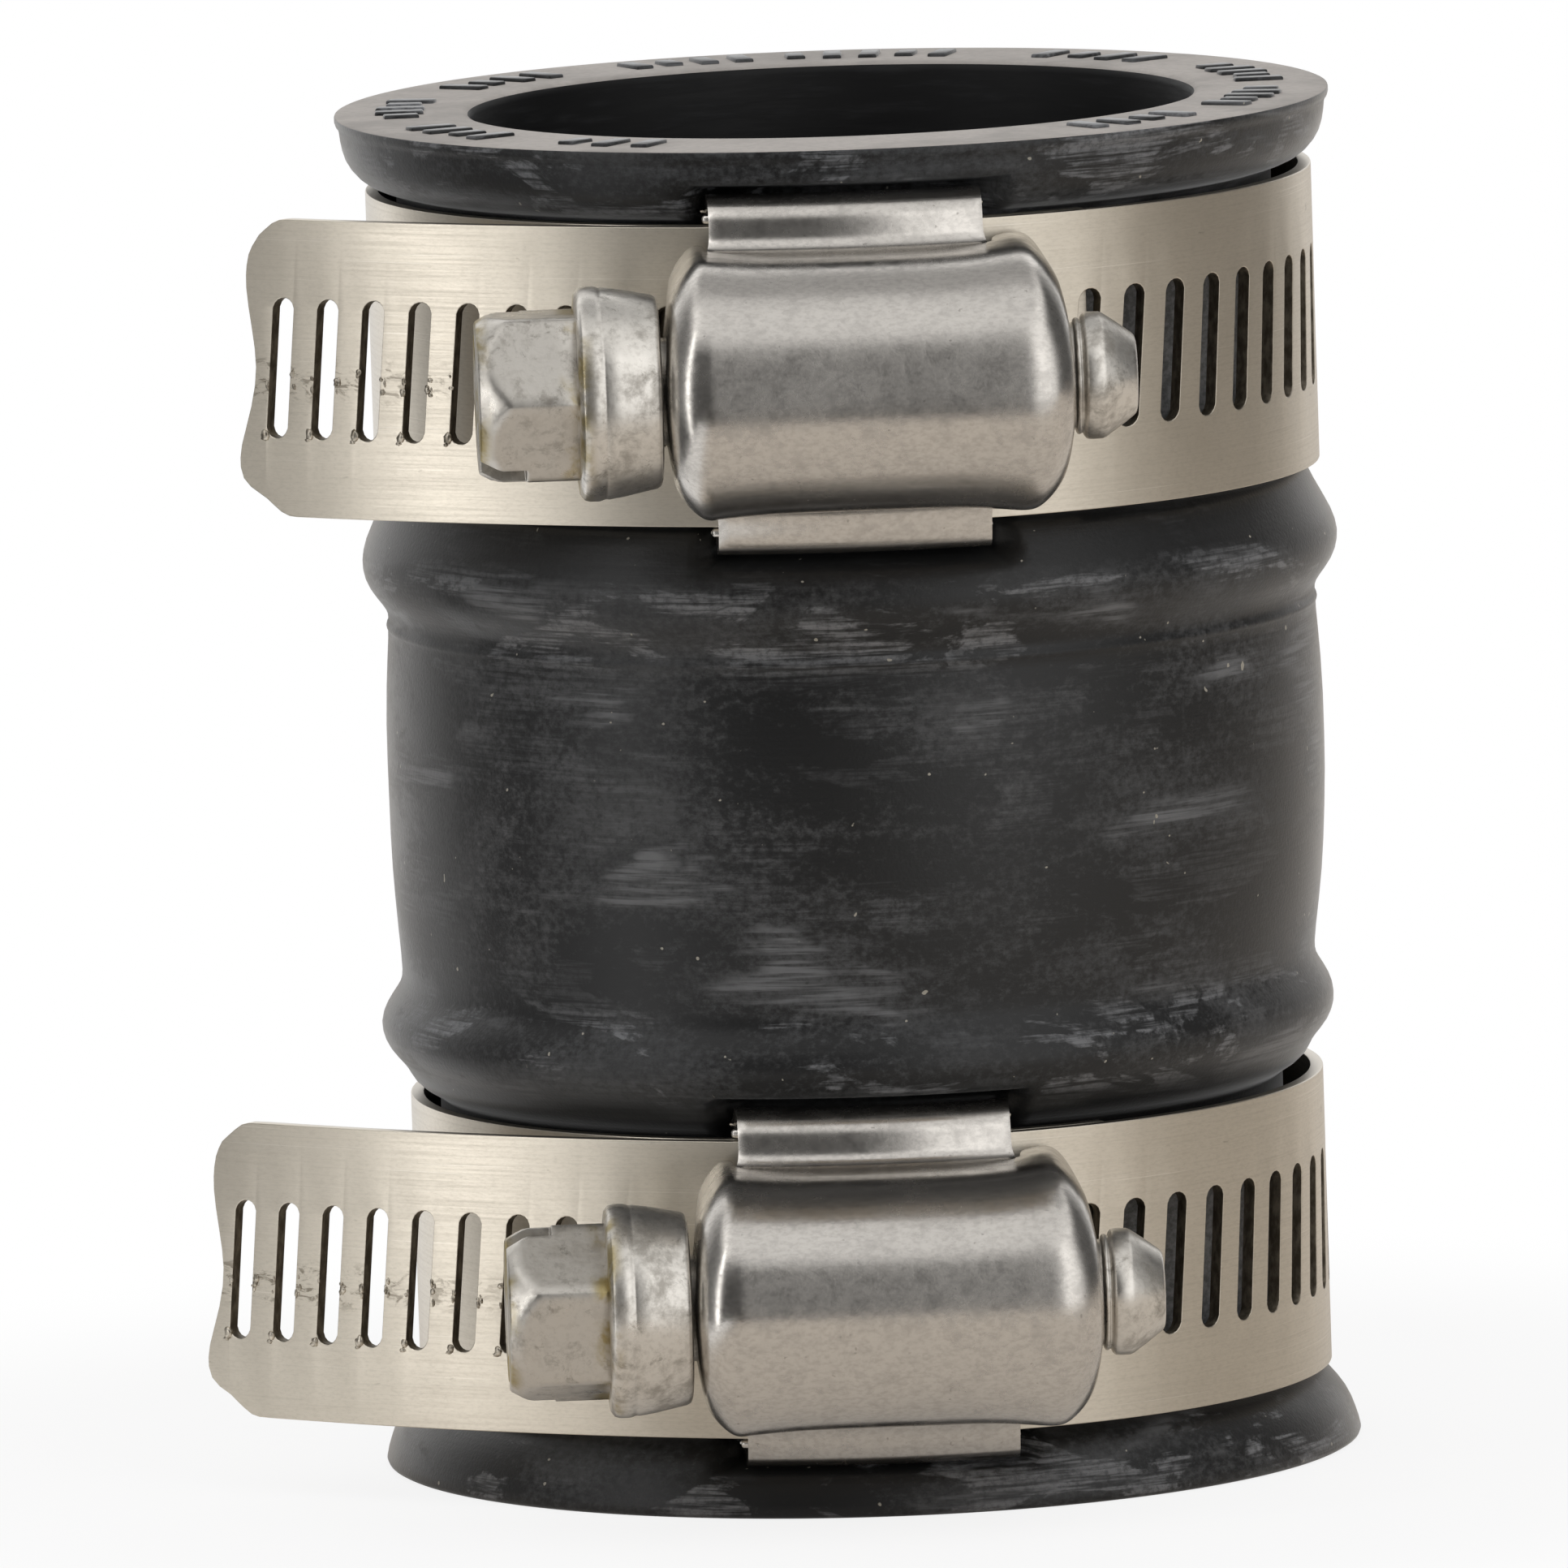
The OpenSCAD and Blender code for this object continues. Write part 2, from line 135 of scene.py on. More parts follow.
def join(tree, value, socket):
    # a number or a colour is set on the socket, and an output is linked to it
    if isinstance(value, (int, float)):
        socket.default_value = value
    elif isinstance(value, tuple):
        socket.default_value = (*value, 1.0)
    else:
        tree.links.new(value, socket)


def feed(tree, shader, values):
    for name, value in values.items():
        join(tree, value, shader.inputs[name])


def mapped(tree, source, scale, turn=(0, 0, 0)):
    made = tree.nodes.new("ShaderNodeMapping")
    made.inputs["Scale"].default_value = scale
    made.inputs["Rotation"].default_value = [math.radians(t) for t in turn]
    tree.links.new(source, made.inputs["Vector"])
    return made.outputs["Vector"]


def noiseAt(tree, source, scale, detail, rough, distort=0.0):
    made = tree.nodes.new("ShaderNodeTexNoise")
    feed(tree, made, {"Vector": source, "Scale": scale, "Detail": detail, "Roughness": rough, "Distortion": distort})
    return made.outputs["Fac"]


def ramp(tree, source, stops):
    made = tree.nodes.new("ShaderNodeValToRGB")
    line = made.color_ramp
    while len(line.elements) < len(stops):
        line.elements.new(0.5)
    for element, (at, colour) in zip(line.elements, stops):
        element.position = at
        element.color = (*colour, 1.0)
    tree.links.new(source, made.inputs["Fac"])
    return made.outputs["Color"]


def grade(tree, source, low, high, toLow=0.0, toHigh=1.0):
    made = tree.nodes.new("ShaderNodeMapRange")
    made.clamp = True
    made.interpolation_type = "SMOOTHSTEP"
    feed(tree, made, {"Value": source, "From Min": low, "From Max": high, "To Min": toLow, "To Max": toHigh})
    return made.outputs["Result"]


def maths(tree, action, *values):
    made = tree.nodes.new("ShaderNodeMath")
    made.operation = action
    for socket, value in zip(made.inputs, values):
        join(tree, value, socket)
    return made.outputs["Value"]


def times(tree, first, second):
    return maths(tree, "MULTIPLY", first, second)


def plus(tree, first, second):
    return maths(tree, "ADD", first, second)


def larger(tree, first, second):
    return maths(tree, "MAXIMUM", first, second)


def axesOf(tree, source):
    made = tree.nodes.new("ShaderNodeSeparateXYZ")
    tree.links.new(source, made.inputs[0])
    return made.outputs["X"], made.outputs["Y"], made.outputs["Z"]


def seenInMetal(tree, rays):
    return larger(tree, rays.outputs["Is Glossy Ray"], rays.outputs["Is Transmission Ray"])


def mixColour(tree, factor, first, second):
    made = tree.nodes.new("ShaderNodeMix")
    made.data_type = "RGBA"
    for index, value in ((0, factor), (6, first), (7, second)):
        join(tree, value, made.inputs[index])
    return made.outputs[2]


def mixValue(tree, factor, first, second):
    made = tree.nodes.new("ShaderNodeMix")
    for index, value in ((0, factor), (2, first), (3, second)):
        join(tree, value, made.inputs[index])
    return made.outputs[0]


def addBump(tree, shader, height, strength, distance):
    made = tree.nodes.new("ShaderNodeBump")
    feed(tree, made, {"Height": height, "Strength": strength, "Distance": distance})
    tree.links.new(made.outputs["Normal"], shader.inputs["Normal"])


rubberLook = {
    "black": (0.0070, 0.0073, 0.0078),
    "haze": (0.068, 0.070, 0.073),
    "chalk": (0.185, 0.190, 0.200),
    # lighter grey for the rubber seen through the bands' slots
    "seat": (0.26, 0.262, 0.262),
    "speck": (0.36, 0.34, 0.29),
    # painted reflection on the end face, light and darker
    "face": (0.500, 0.462, 0.430),
    "faceDark": (0.340, 0.316, 0.295),
    # painted shade inside the bore
    "bore": (0.0055, 0.0055, 0.0058),
    # height that the marks are counted from, and their limits above and below it, in metres
    "middle": 0.0358,
    "bareBody": (0.0085, 0.0105),
    "beadEnd": (0.0130, 0.0146),
    "seatFrom": (0.0178, 0.0186),
    "seatTo": (0.0300, 0.0308),
    "lipFrom": (0.0305, 0.0320),
}


def rubberMaterial():
    # smoky handling marks with stippled borders, and lined chalk where the mould release dried
    material, tree, shader, place = startMaterial("mouldedRubber")
    at = place.outputs["Object"]
    clouds = noiseAt(tree, mapped(tree, at, (1, 1, 1.5), (0, 14, 0)), 62, 3, 0.5, 0.6)
    wipes = noiseAt(tree, mapped(tree, at, (1, 1, 3.4), (0, -33, 0)), 74, 4, 0.52, 0.3)
    grain = noiseAt(tree, mapped(tree, at, (1, 1, 1.3)), 2100, 4, 0.7)
    dots = noiseAt(tree, at, 5200, 2, 0.5)
    lines = noiseAt(tree, mapped(tree, at, (1, 1, 22)), 210, 3, 0.6)
    streaks = noiseAt(tree, mapped(tree, at, (1, 1, 24), (0, -33, 0)), 150, 3, 0.6)
    # the beads and lips are handled most; beside the bands the haze and chalk are mostly left out, as painted shade on
    # the beads' flanks next to the bands
    fromMiddle = maths(tree, "ABSOLUTE", maths(tree, "SUBTRACT", axesOf(tree, at)[2], rubberLook["middle"]))
    dustOutsideBandShade = larger(tree, grade(tree, fromMiddle, *rubberLook["beadEnd"], 1.0, 0.10),
                     grade(tree, fromMiddle, *rubberLook["lipFrom"]))
    crumbs = times(tree, maths(tree, "SUBTRACT", grain, 0.5), 0.55)
    smoke = plus(tree, larger(tree, clouds, maths(tree, "SUBTRACT", wipes, 0.03)), crumbs)
    scrape = grade(tree, lines, 0.30, 0.70, 0.70, 1.15)
    haze = times(tree, times(tree, grade(tree, smoke, 0.44, 0.70), scrape), dustOutsideBandShade)
    smear = times(tree, grade(tree, wipes, 0.57, 0.67), grade(tree, streaks, 0.40, 0.62))
    patch = noiseAt(tree, mapped(tree, at, (1, 1, 2.6), (0, -8, 0)), 110, 6, 0.62, 0.6)
    lined = times(tree, grade(tree, patch, 0.53, 0.58), grade(tree, lines, 0.36, 0.62))
    chalk = times(tree, lined, grade(tree, grain, 0.30, 0.60, 0.35, 1.0))
    chalk = times(tree, chalk, grade(tree, fromMiddle, *rubberLook["bareBody"], 0.16, 1.0))
    chalk = times(tree, larger(tree, chalk, times(tree, smear, 0.7)), dustOutsideBandShade)
    colour = mixColour(tree, haze, rubberLook["black"], rubberLook["haze"])
    colour = mixColour(tree, chalk, colour, rubberLook["chalk"])
    # under the bands, seen through their slots, the rubber is made a lighter grey
    seats = times(tree, grade(tree, fromMiddle, *rubberLook["seatFrom"]),
                  grade(tree, fromMiddle, *rubberLook["seatTo"], 1.0, 0.0))
    throughSlotsGrey = times(tree, seats, grade(tree, grain, 0.35, 0.65, 0.45, 0.95))
    colour = mixColour(tree, throughSlotsGrey, colour, rubberLook["seat"])
    specks = grade(tree, noiseAt(tree, at, 1900, 1, 0.4), 0.785, 0.815)
    colour = mixColour(tree, specks, colour, rubberLook["speck"])
    rough = grade(tree, larger(tree, haze, chalk), 0.0, 0.8, 0.42, 0.66)
    feed(tree, shader, {"Base Color": colour, "Roughness": rough, "Specular IOR Level": 0.40, "Sheen Weight": 0.85,
                        "Sheen Roughness": 0.32})
    height = plus(tree, times(tree, lines, 0.35), times(tree, dots, 0.4))
    addBump(tree, shader, height, 0.30, 0.00010)
    return material


def rimMaterial():
    # the end face's light grey is painted reflection of the bright surroundings at a grazing view, mottled by patches
    # and grain
    material, tree, shader, place = startMaterial("endFacePaintedSheen")
    at = place.outputs["Object"]
    patches = noiseAt(tree, at, 150, 6, 0.6, 0.5)
    grain = noiseAt(tree, at, 2400, 3, 0.6)
    colour = mixColour(tree, grade(tree, patches, 0.38, 0.70, 0.0, 0.8), rubberLook["face"], rubberLook["faceDark"])
    colour = mixColour(tree, grade(tree, grain, 0.40, 0.68, 0.0, 0.35), colour, rubberLook["faceDark"])
    feed(tree, shader, {"Base Color": colour, "Roughness": 0.82})
    addBump(tree, shader, grain, 0.3, 0.0001)
    return material


def boreMaterial():
    # the bore is painted darker than the outside rubber, as shade inside it, with faint lines of haze
    material, tree, shader, place = startMaterial("boreShadedRubber")
    at = place.outputs["Object"]
    lines = noiseAt(tree, mapped(tree, at, (1, 1, 9)), 190, 4, 0.6)
    colour = mixColour(tree, grade(tree, lines, 0.48, 0.82, 0.0, 0.22), rubberLook["bore"], rubberLook["haze"])
    rough = grade(tree, lines, 0.3, 0.7, 0.5, 0.66)
    feed(tree, shader, {"Base Color": colour, "Roughness": rough, "Specular IOR Level": 0.22})
    addBump(tree, shader, lines, 0.2, 0.0001)
    return material


bandLook = {
    "steel": (0.645, 0.590, 0.500),
    "shade": (0.490, 0.445, 0.370),
    "scuff": (0.270, 0.235, 0.185),
    # painted shade for the strip's inner side
    "inside": (0.210, 0.188, 0.155),
    # painted shade for the torn walls inside the slots
    "wall": (0.115, 0.098, 0.074),
    "scratch": (0.80, 0.75, 0.67),
}


def brushLines(tree, along):
    brush = noiseAt(tree, mapped(tree, along, (0.10, 7.0, 1.0)), 1.0, 6, 0.72)
    fine = noiseAt(tree, mapped(tree, along, (0.30, 26.0, 1.0)), 1.0, 3, 0.6)
    return brush, fine


def bandMaterial():
    # the strip's own UV map is in millimetres, along it and across it
    material, tree, shader, place = startMaterial("brushedBand")
    along = place.outputs["UV"]
    at = place.outputs["Object"]
    brush, fine = brushLines(tree, along)
    clouds = noiseAt(tree, at, 120, 5, 0.6, 0.4)
    # rubbing marks on the tail, at the height where the worm ran over it
    length, height = axesOf(tree, along)[:2]
    worn = times(tree, grade(tree, length, -36.0, -14.0, 1.0, 0.0),
                 grade(tree, maths(tree, "ABSOLUTE", plus(tree, height, 0.6)), 0.5, 1.6, 1.0, 0.0))
    torn = noiseAt(tree, mapped(tree, along, (0.8, 1.6, 1.0)), 1.0, 6, 0.7, 0.8)
    worn = times(tree, worn, grade(tree, torn, 0.50, 0.62))
    grain = noiseAt(tree, mapped(tree, along, (2.4, 6.5, 1.0)), 1.0, 4, 0.72)
    colour = bandLook["steel"]
    for source, low, high, most in ((clouds, 0.42, 0.78, 0.35), (brush, 0.46, 0.76, 0.45), (grain, 0.42, 0.68, 0.40)):
        colour = mixColour(tree, grade(tree, source, low, high, 0.0, most), colour, bandLook["shade"])
    scratch = grade(tree, noiseAt(tree, mapped(tree, along, (0.05, 9.0, 1.0)), 1.0, 2, 0.5), 0.66, 0.72, 0.0, 0.5)
    colour = mixColour(tree, scratch, colour, bandLook["scratch"])
    marks = grade(tree, noiseAt(tree, mapped(tree, along, (0.35, 1.1, 1.0)), 1.0, 5, 0.65, 0.3), 0.66, 0.76, 0.0, 0.5)
    colour = mixColour(tree, larger(tree, worn, marks), colour, bandLook["scuff"])
    strip = tree.nodes.new("ShaderNodeTangent")
    strip.direction_type = "UV_MAP"
    strip.uv_map = "strip"
    rough = plus(tree, grade(tree, brush, 0.3, 0.7, 0.34, 0.42), times(tree, worn, 0.15))
    feed(tree, shader, {"Base Color": colour, "Metallic": 1.0, "Roughness": rough, "Anisotropic": 0.7,
                        "Anisotropic Rotation": 0.25, "Tangent": strip.outputs["Tangent"]})
    relief = plus(tree, times(tree, brush, 0.5), times(tree, fine, 0.5))
    relief = plus(tree, relief, times(tree, grain, 0.4))
    addBump(tree, shader, plus(tree, relief, times(tree, worn, 0.6)), 0.14, 0.00003)
    return material


def bandInsideMaterial():
    # the side that lay on the rubber, painted dark and dull as shade between the tail and the loop behind it
    material, tree, shader, place = startMaterial("bandInsideShaded")
    brush, fine = brushLines(tree, place.outputs["UV"])
    colour = mixColour(tree, grade(tree, brush, 0.35, 0.75), bandLook["inside"], bandLook["scuff"])
    feed(tree, shader, {"Base Color": colour, "Metallic": 1.0, "Roughness": grade(tree, fine, 0.3, 0.7, 0.38, 0.50)})
    return material


def bandEdgeMaterial():
    # sheared edges: bright along the strip; inside the slots the torn walls are painted dark as shade
    material, tree, shader, place = startMaterial("bandEdgeSlotShade")
    outer = grade(tree, maths(tree, "ABSOLUTE", axesOf(tree, place.outputs["UV"])[1]), 4.0, 5.0)
    torn = noiseAt(tree, mapped(tree, place.outputs["Object"], (1, 1, 0.4)), 2600, 4, 0.6)
    wall = mixColour(tree, grade(tree, torn, 0.35, 0.7), bandLook["wall"], bandLook["scuff"])
    colour = mixColour(tree, outer, wall, bandLook["steel"])
    feed(tree, shader, {"Base Color": colour, "Metallic": 1.0, "Roughness": grade(tree, outer, 0.0, 1.0, 0.55, 0.30)})
    return material


def tornMaterial():
    material, tree, shader, place = startMaterial("tornMetal")
    flecks = noiseAt(tree, place.outputs["Object"], 3200, 3, 0.6)
    colour = mixColour(tree, grade(tree, flecks, 0.38, 0.62), bandLook["scuff"], bandLook["steel"])
    feed(tree, shader, {"Base Color": colour, "Metallic": 1.0, "Roughness": 0.36})
    return material


housingLook = {
    "steel": (0.590, 0.560, 0.520),
    "shade": (0.380, 0.360, 0.335),
    "pit": (0.200, 0.185, 0.165),
}


def housingMaterial():
    material, tree, shader, place = startMaterial("pressedSteel")
    at = place.outputs["Object"]
    mottle = noiseAt(tree, at, 900, 5, 0.65, 0.3)
    clouds = noiseAt(tree, at, 160, 4, 0.55, 0.4)
    fine = noiseAt(tree, mapped(tree, at, (0.6, 1, 1)), 4200, 3, 0.65)
    pits = grade(tree, noiseAt(tree, at, 2600, 2, 0.5), 0.71, 0.78)
    colour = mixColour(tree, grade(tree, mottle, 0.45, 0.75, 0.0, 0.5), housingLook["steel"], housingLook["shade"])
    colour = mixColour(tree, grade(tree, fine, 0.40, 0.68, 0.0, 0.40), colour, housingLook["shade"])
    colour = mixColour(tree, times(tree, pits, 0.5), colour, housingLook["pit"])
    rough = plus(tree, grade(tree, mottle, 0.3, 0.7, 0.17, 0.26), grade(tree, clouds, 0.35, 0.7, 0.0, 0.05))
    feed(tree, shader, {"Base Color": colour, "Metallic": 1.0, "Roughness": rough})
    addBump(tree, shader, plus(tree, mottle, times(tree, fine, 0.35)), 0.10, 0.00006)
    return material


screwLook = {
    "zinc": (0.670, 0.640, 0.590),
    "dull": (0.400, 0.374, 0.335),
    "stain": (0.300, 0.225, 0.055),
    "grime": (0.200, 0.182, 0.155),
    # places along the screw, in metres
    "cornerAt": -0.0154,
    "cornerReach": (0.0002, 0.0011),
    "nose": (-0.0205, -0.0197),
    "hexEnd": (-0.01535, -0.01520),
}


def screwMaterial():
    material, tree, shader, place = startMaterial("zincScrew")
    at = place.outputs["Object"]
    spots = noiseAt(tree, at, 520, 7, 0.70, 0.2)
    grain = noiseAt(tree, at, 2600, 3, 0.6)
    stains = noiseAt(tree, at, 330, 4, 0.6, 0.3)
    x = axesOf(tree, at)[0]
    # oily residue gathers in the corner between hex and collar, and on the driver end
    corner = maths(tree, "ABSOLUTE", maths(tree, "SUBTRACT", x, screwLook["cornerAt"]))
    corner = grade(tree, corner, *screwLook["cornerReach"], 1.0, 0.0)
    nose = grade(tree, x, *screwLook["nose"], 1.0, 0.0)
    oily = times(tree, larger(tree, corner, nose), grade(tree, stains, 0.44, 0.62))
    # the hex is duller than the turned collar
    hexed = grade(tree, x, *screwLook["hexEnd"], 0.48, 0.0)
    patchy = larger(tree, grade(tree, spots, 0.46, 0.66), hexed)
    colour = mixColour(tree, patchy, screwLook["zinc"], screwLook["dull"])
    colour = mixColour(tree, grade(tree, grain, 0.45, 0.70, 0.0, 0.35), colour, screwLook["dull"])
    grime = grade(tree, noiseAt(tree, at, 760, 8, 0.75, 0.4), 0.55, 0.68, 0.0, 0.6)
    colour = mixColour(tree, grime, colour, screwLook["grime"])
    colour = mixColour(tree, times(tree, oily, 0.8), colour, screwLook["stain"])
    feed(tree, shader, {"Base Color": colour, "Metallic": 0.95, "Roughness": grade(tree, spots, 0.3, 0.7, 0.26, 0.46)})
    addBump(tree, shader, plus(tree, spots, times(tree, grain, 0.4)), 0.16, 0.00010)
    return material


rubber = rubberMaterial()
rimGrazingSheen = rimMaterial()
boreShadedRubber = boreMaterial()
bandSteel = bandMaterial()
bandInsideShaded = bandInsideMaterial()
bandEdgeSlotShade = bandEdgeMaterial()
tornMetal = tornMaterial()
housingSteel = housingMaterial()
screwZinc = screwMaterial()
print("materials ready")


sleeve = {
    "steps": 256,
    "bore": 19.3,
    "mouth": 0.5,
    "length": 73.0,
    "face": 72.8,          # the end face lies below the tops of its raised bars
    # height and radius up the outside
    "outside": [
        (0.0, 25.6), (0.02, 25.95), (0.12, 26.13), (0.3, 26.2), (0.75, 26.1), (1.2, 25.96), (1.7, 25.78),
        (2.2, 25.53), (2.7, 25.18), (3.15, 24.8), (3.55, 24.35), (3.85, 23.85), (4.02, 23.3), (4.1, 22.75),
        (4.3, 22.62), (8.0, 22.6), (12.0, 22.6), (16.0, 22.6), (19.9, 22.62), (20.1, 22.8), (20.35, 23.2),
        (20.6, 23.6), (20.95, 23.98), (21.3, 24.2), (21.6, 24.36), (21.95, 24.62), (22.3, 24.92), (22.7, 25.22),
        (23.1, 25.42), (23.5, 25.53), (23.9, 25.55), (24.35, 25.47), (24.75, 25.31), (25.15, 25.08),
        (25.55, 24.82), (25.9, 24.62), (26.25, 24.52), (26.7, 24.5), (27.6, 24.57), (29.0, 24.72),
        (30.6, 24.87), (32.2, 24.98), (34.0, 25.06), (36.0, 25.11), (38.0, 25.13), (40.0, 25.12), (42.0, 25.05),
        (43.6, 24.95), (44.6, 24.88), (45.05, 24.87), (45.2, 24.92), (45.32, 24.95), (45.45, 24.92),
        (45.6, 24.83), (46.0, 24.86), (46.3, 24.97), (46.65, 25.2), (47.05, 25.5), (47.5, 25.8), (47.95, 26.0),
        (48.4, 26.1), (48.85, 26.12), (49.35, 26.04), (49.9, 25.86), (50.45, 25.6), (51.0, 25.33),
        (51.5, 25.08), (52.0, 24.86), (52.4, 24.62), (52.65, 24.25), (52.78, 23.75), (52.9, 23.42),
        (53.2, 23.4), (57.0, 23.4), (61.0, 23.4), (65.0, 23.4), (68.5, 23.4), (68.8, 23.55), (68.95, 24.0),
        (69.1, 24.55), (69.3, 25.0), (69.6, 25.4), (70.05, 25.8), (70.5, 26.06), (71.0, 26.22), (71.5, 26.31),
        (71.95, 26.36), (72.15, 26.41), (72.3, 26.53), (72.5, 26.59), (72.7, 26.59), (72.77, 26.57),
        (72.8, 26.5)],
    # sideways lean of the flexed middle
    "lean": [(0, 0.0), (20, -0.05), (24, -0.12), (26.5, 0.0), (30, 0.12), (36, 0.22), (49, 0.24), (52, 0.12), (53, 0.0),
             (73, 0.0)],
    "relief": 0.8,
    "socket": 26.0,
    "inner": 21.0,         # nothing inside this radius is pressed in or leans
    # radii of the rings on the upper and the lower end face
    "faceRings": [25.5, 24.2, 22.6, 21.2],
    "footRings": [21.5, 23.5, 25.0],
}

rimBars = {
    # angle of a group's middle from the front, bars in it and their step, in degrees
    "groups": [(-62, 4, 5.2), (-33, 3, 5.6), (-96, 5, 4.8), (-132, 4, 5.4), (-163, 4, 5.0), (172, 5, 5.0),
               (138, 4, 5.4), (104, 5, 4.8), (72, 5, 4.6), (41, 4, 5.2)],
    "middle": 23.1,
    "long": 2.6,
    "wide": 1.0,
    "tall": 0.19,
    "short": 0.72,
    "edge": 0.1,
}

# where the saddle and its tabs press into the rubber: half length and middle along the screw, half height,
# room left under them, how the print fades beside them, and the least radius
pressed = {"half": 7.65, "middle": -0.65, "high": 9.85, "room": 0.12, "fade": 0.1, "steep": 40.0, "least": 21.5}


def pressDepth(clamp, turn, z):
    # radius left to the rubber under one clamp's saddle and tabs
    seat = clamp["seat"]
    half = math.asin(pressed["half"] / seat)
    middle = math.asin(pressed["middle"] / seat)
    beside = max(abs(turn - middle) - half, 0.0) * seat
    above = max(abs(z - clamp["z"]) - pressed["high"], 0.0)
    return seat - layers["hook"] - pressed["room"] + pressed["steep"] * max(beside - pressed["fade"], above)


def buildSleeve():
    bm = bmesh.new()
    outside = [(r, 0.0, z) for z, r in sleeve["outside"]]
    top, bore, mouth = sleeve["face"], sleeve["bore"], sleeve["mouth"]
    relief, socket = bore + sleeve["relief"], sleeve["socket"]
    inside = [(bore + mouth, top), (bore + 0.15, top - 0.15), (bore, top - mouth), (bore, top - 8), (bore, top - 17),
              (bore, sleeve["length"] - socket + 0.1), (relief, sleeve["length"] - socket - sleeve["relief"]),
              (relief, sleeve["length"] / 2), (relief, socket + sleeve["relief"]), (bore, socket - 0.1),
              (bore, 17.0), (bore, 8.0), (bore, mouth), (bore + 0.15, 0.15), (bore + mouth, 0.0)]
    inside = [(r, top) for r in sleeve["faceRings"]] + inside + [(r, 0.0) for r in sleeve["footRings"]]
    verts, edges = chain(bm, outside + [(r, 0.0, z) for r, z in inside], closed=True)
    bmesh.ops.spin(bm, geom=verts + edges, cent=(0, 0, 0), axis=(0, 0, 1), dvec=(0, 0, 0),
                   angle=2 * math.pi, steps=sleeve["steps"], use_merge=True)
    bmesh.ops.remove_doubles(bm, verts=bm.verts, dist=0.0005)
    bmesh.ops.recalc_face_normals(bm, faces=bm.faces)
    for vert in bm.verts:
        x, y, z = vert.co
        r = math.hypot(x, y)
        if r < sleeve["inner"]:
            continue
        turn = math.atan2(x, -y)
        limit = min(pressDepth(clamp, turn, z) for clamp in clamps.values())
        r = min(r, max(limit, pressed["least"]))
        vert.co.x = r * math.sin(turn) + between(sleeve["lean"], z)
        vert.co.y = -r * math.cos(turn)
    bm.normal_update()
    for face in bm.faces:
        middle = face.calc_center_median()
        # the top end face takes the painted reflection
        if face.normal.z > 0.9 and middle.z > top - 0.1:
            face.material_index = 1
        # the bore takes the painted shade
        elif math.hypot(middle.x, middle.y) < bore + 1.2 and 0.05 < middle.z < top - 0.05:
            face.material_index = 2
    for middle, count, step in rimBars["groups"]:
        for i in range(count):
            turn = math.radians(middle + (i - (count - 1) / 2) * step)
            short = rimBars["short"] if (i + count) % 3 == 0 else 1.0
            size = (rimBars["wide"], rimBars["long"] * short, rimBars["tall"] * 2)
            spot = Vector((math.sin(turn), -math.cos(turn), 0)) * rimBars["middle"] + Vector((0, 0, top))
            bar = bmesh.ops.create_cube(bm, size=1.0, matrix=Matrix.Translation(spot)
                                        @ Matrix.Rotation(turn, 4, "Z") @ Matrix.Diagonal((*size, 1.0)))["verts"]
            sides = list({e for v in bar for e in v.link_edges})
            bmesh.ops.bevel(bm, geom=sides, offset=rimBars["edge"], offset_type="OFFSET", affect="EDGES", segments=2,
                            profile=0.5, material=-1)
    makePiece("sleeve", bm, [rubber, rimGrazingSheen, boreShadedRubber], "sleeve", "rubber_sleeve")


buildSleeve()
print("sleeve made")


band = {
    "wide": 15.9,
    "thick": 0.7,
    "pitch": 2.86,
    "slotLong": 7.5,
    "slotWide": 1.35,
    "slotSides": 16,
    "slotsRound": 25,
    "lean": 0.1034,        # sideways step of a slot for each step up
    "row": 3.2,
    "plainStep": 1.4,
    "tipPlain": 0.8,       # strip kept whole beyond the last slot
    "tipCell": 0.78,       # how far the last cell reaches towards the tip, as a share of half a pitch
    "tipSlant": 0.08,      # the tip's lower corner reaches further than its upper one
    # way the tail faces, in degrees left of the front, by distance from where it leaves the loop
    "tailTurns": [(0.0, 20.0), (2.5, 22.2), (8.0, 26.8), (14.5, 30.6), (22.0, 36.0), (32.0, 39.5)],
    "tailSteps": 30,
    "startAngle": 29.0,
    "edge": 0.06,
    # tail's end: distance back from its tip and height
    "end": [(0.0, 4.9), (0.03, 5.4), (0.2, 6.0), (0.55, 6.45), (1.2, 6.97), (1.7, 7.36), (2.2, 7.72), (2.55, 7.89),
            (3.0, 7.95)],
    "waist": [(0.84, 0.0), (0.76, 1.0), (0.55, 2.1), (0.28, 3.2), (0.06, 4.2)],
}


def loopRadii(clamp):
    # of the driven half of the loop, and of the half that starts under the saddle
    return [clamp["seat"] + (layers[layer] + band["thick"]) / 2 for layer in ("drive", "start")]


def bandPath(clamp, s):
    # middle of the strip at s millimetres right of the screw, and the way out of the sleeve there
    driveR, startR = loopRadii(clamp)
    leave = -math.radians(band["tailTurns"][0][1])
    r, y = driveR, -layers["drive"] / 2
    turn = max(s / driveR, leave)
    if turn > math.pi:
        turn, r, y = math.pi + (turn - math.pi) * driveR / startR, startR, -layers["start"] / 2
    out = Vector((math.sin(turn), -math.cos(turn), 0))
    spot = Vector((0, y, 0)) + out * r
    step = max(leave * driveR - s, 0.0) / band["tailSteps"]
    for i in range(band["tailSteps"] if step else 0):
        turn = -math.radians(between(band["tailTurns"], step * (i + 0.5)))
        spot -= Vector((math.cos(turn), math.sin(turn), 0)) * step
        out = Vector((math.sin(turn), -math.cos(turn), 0))
    return spot, out


def tailHeight(clamp, s):
    return between(band["end"], s + clamp["tail"])


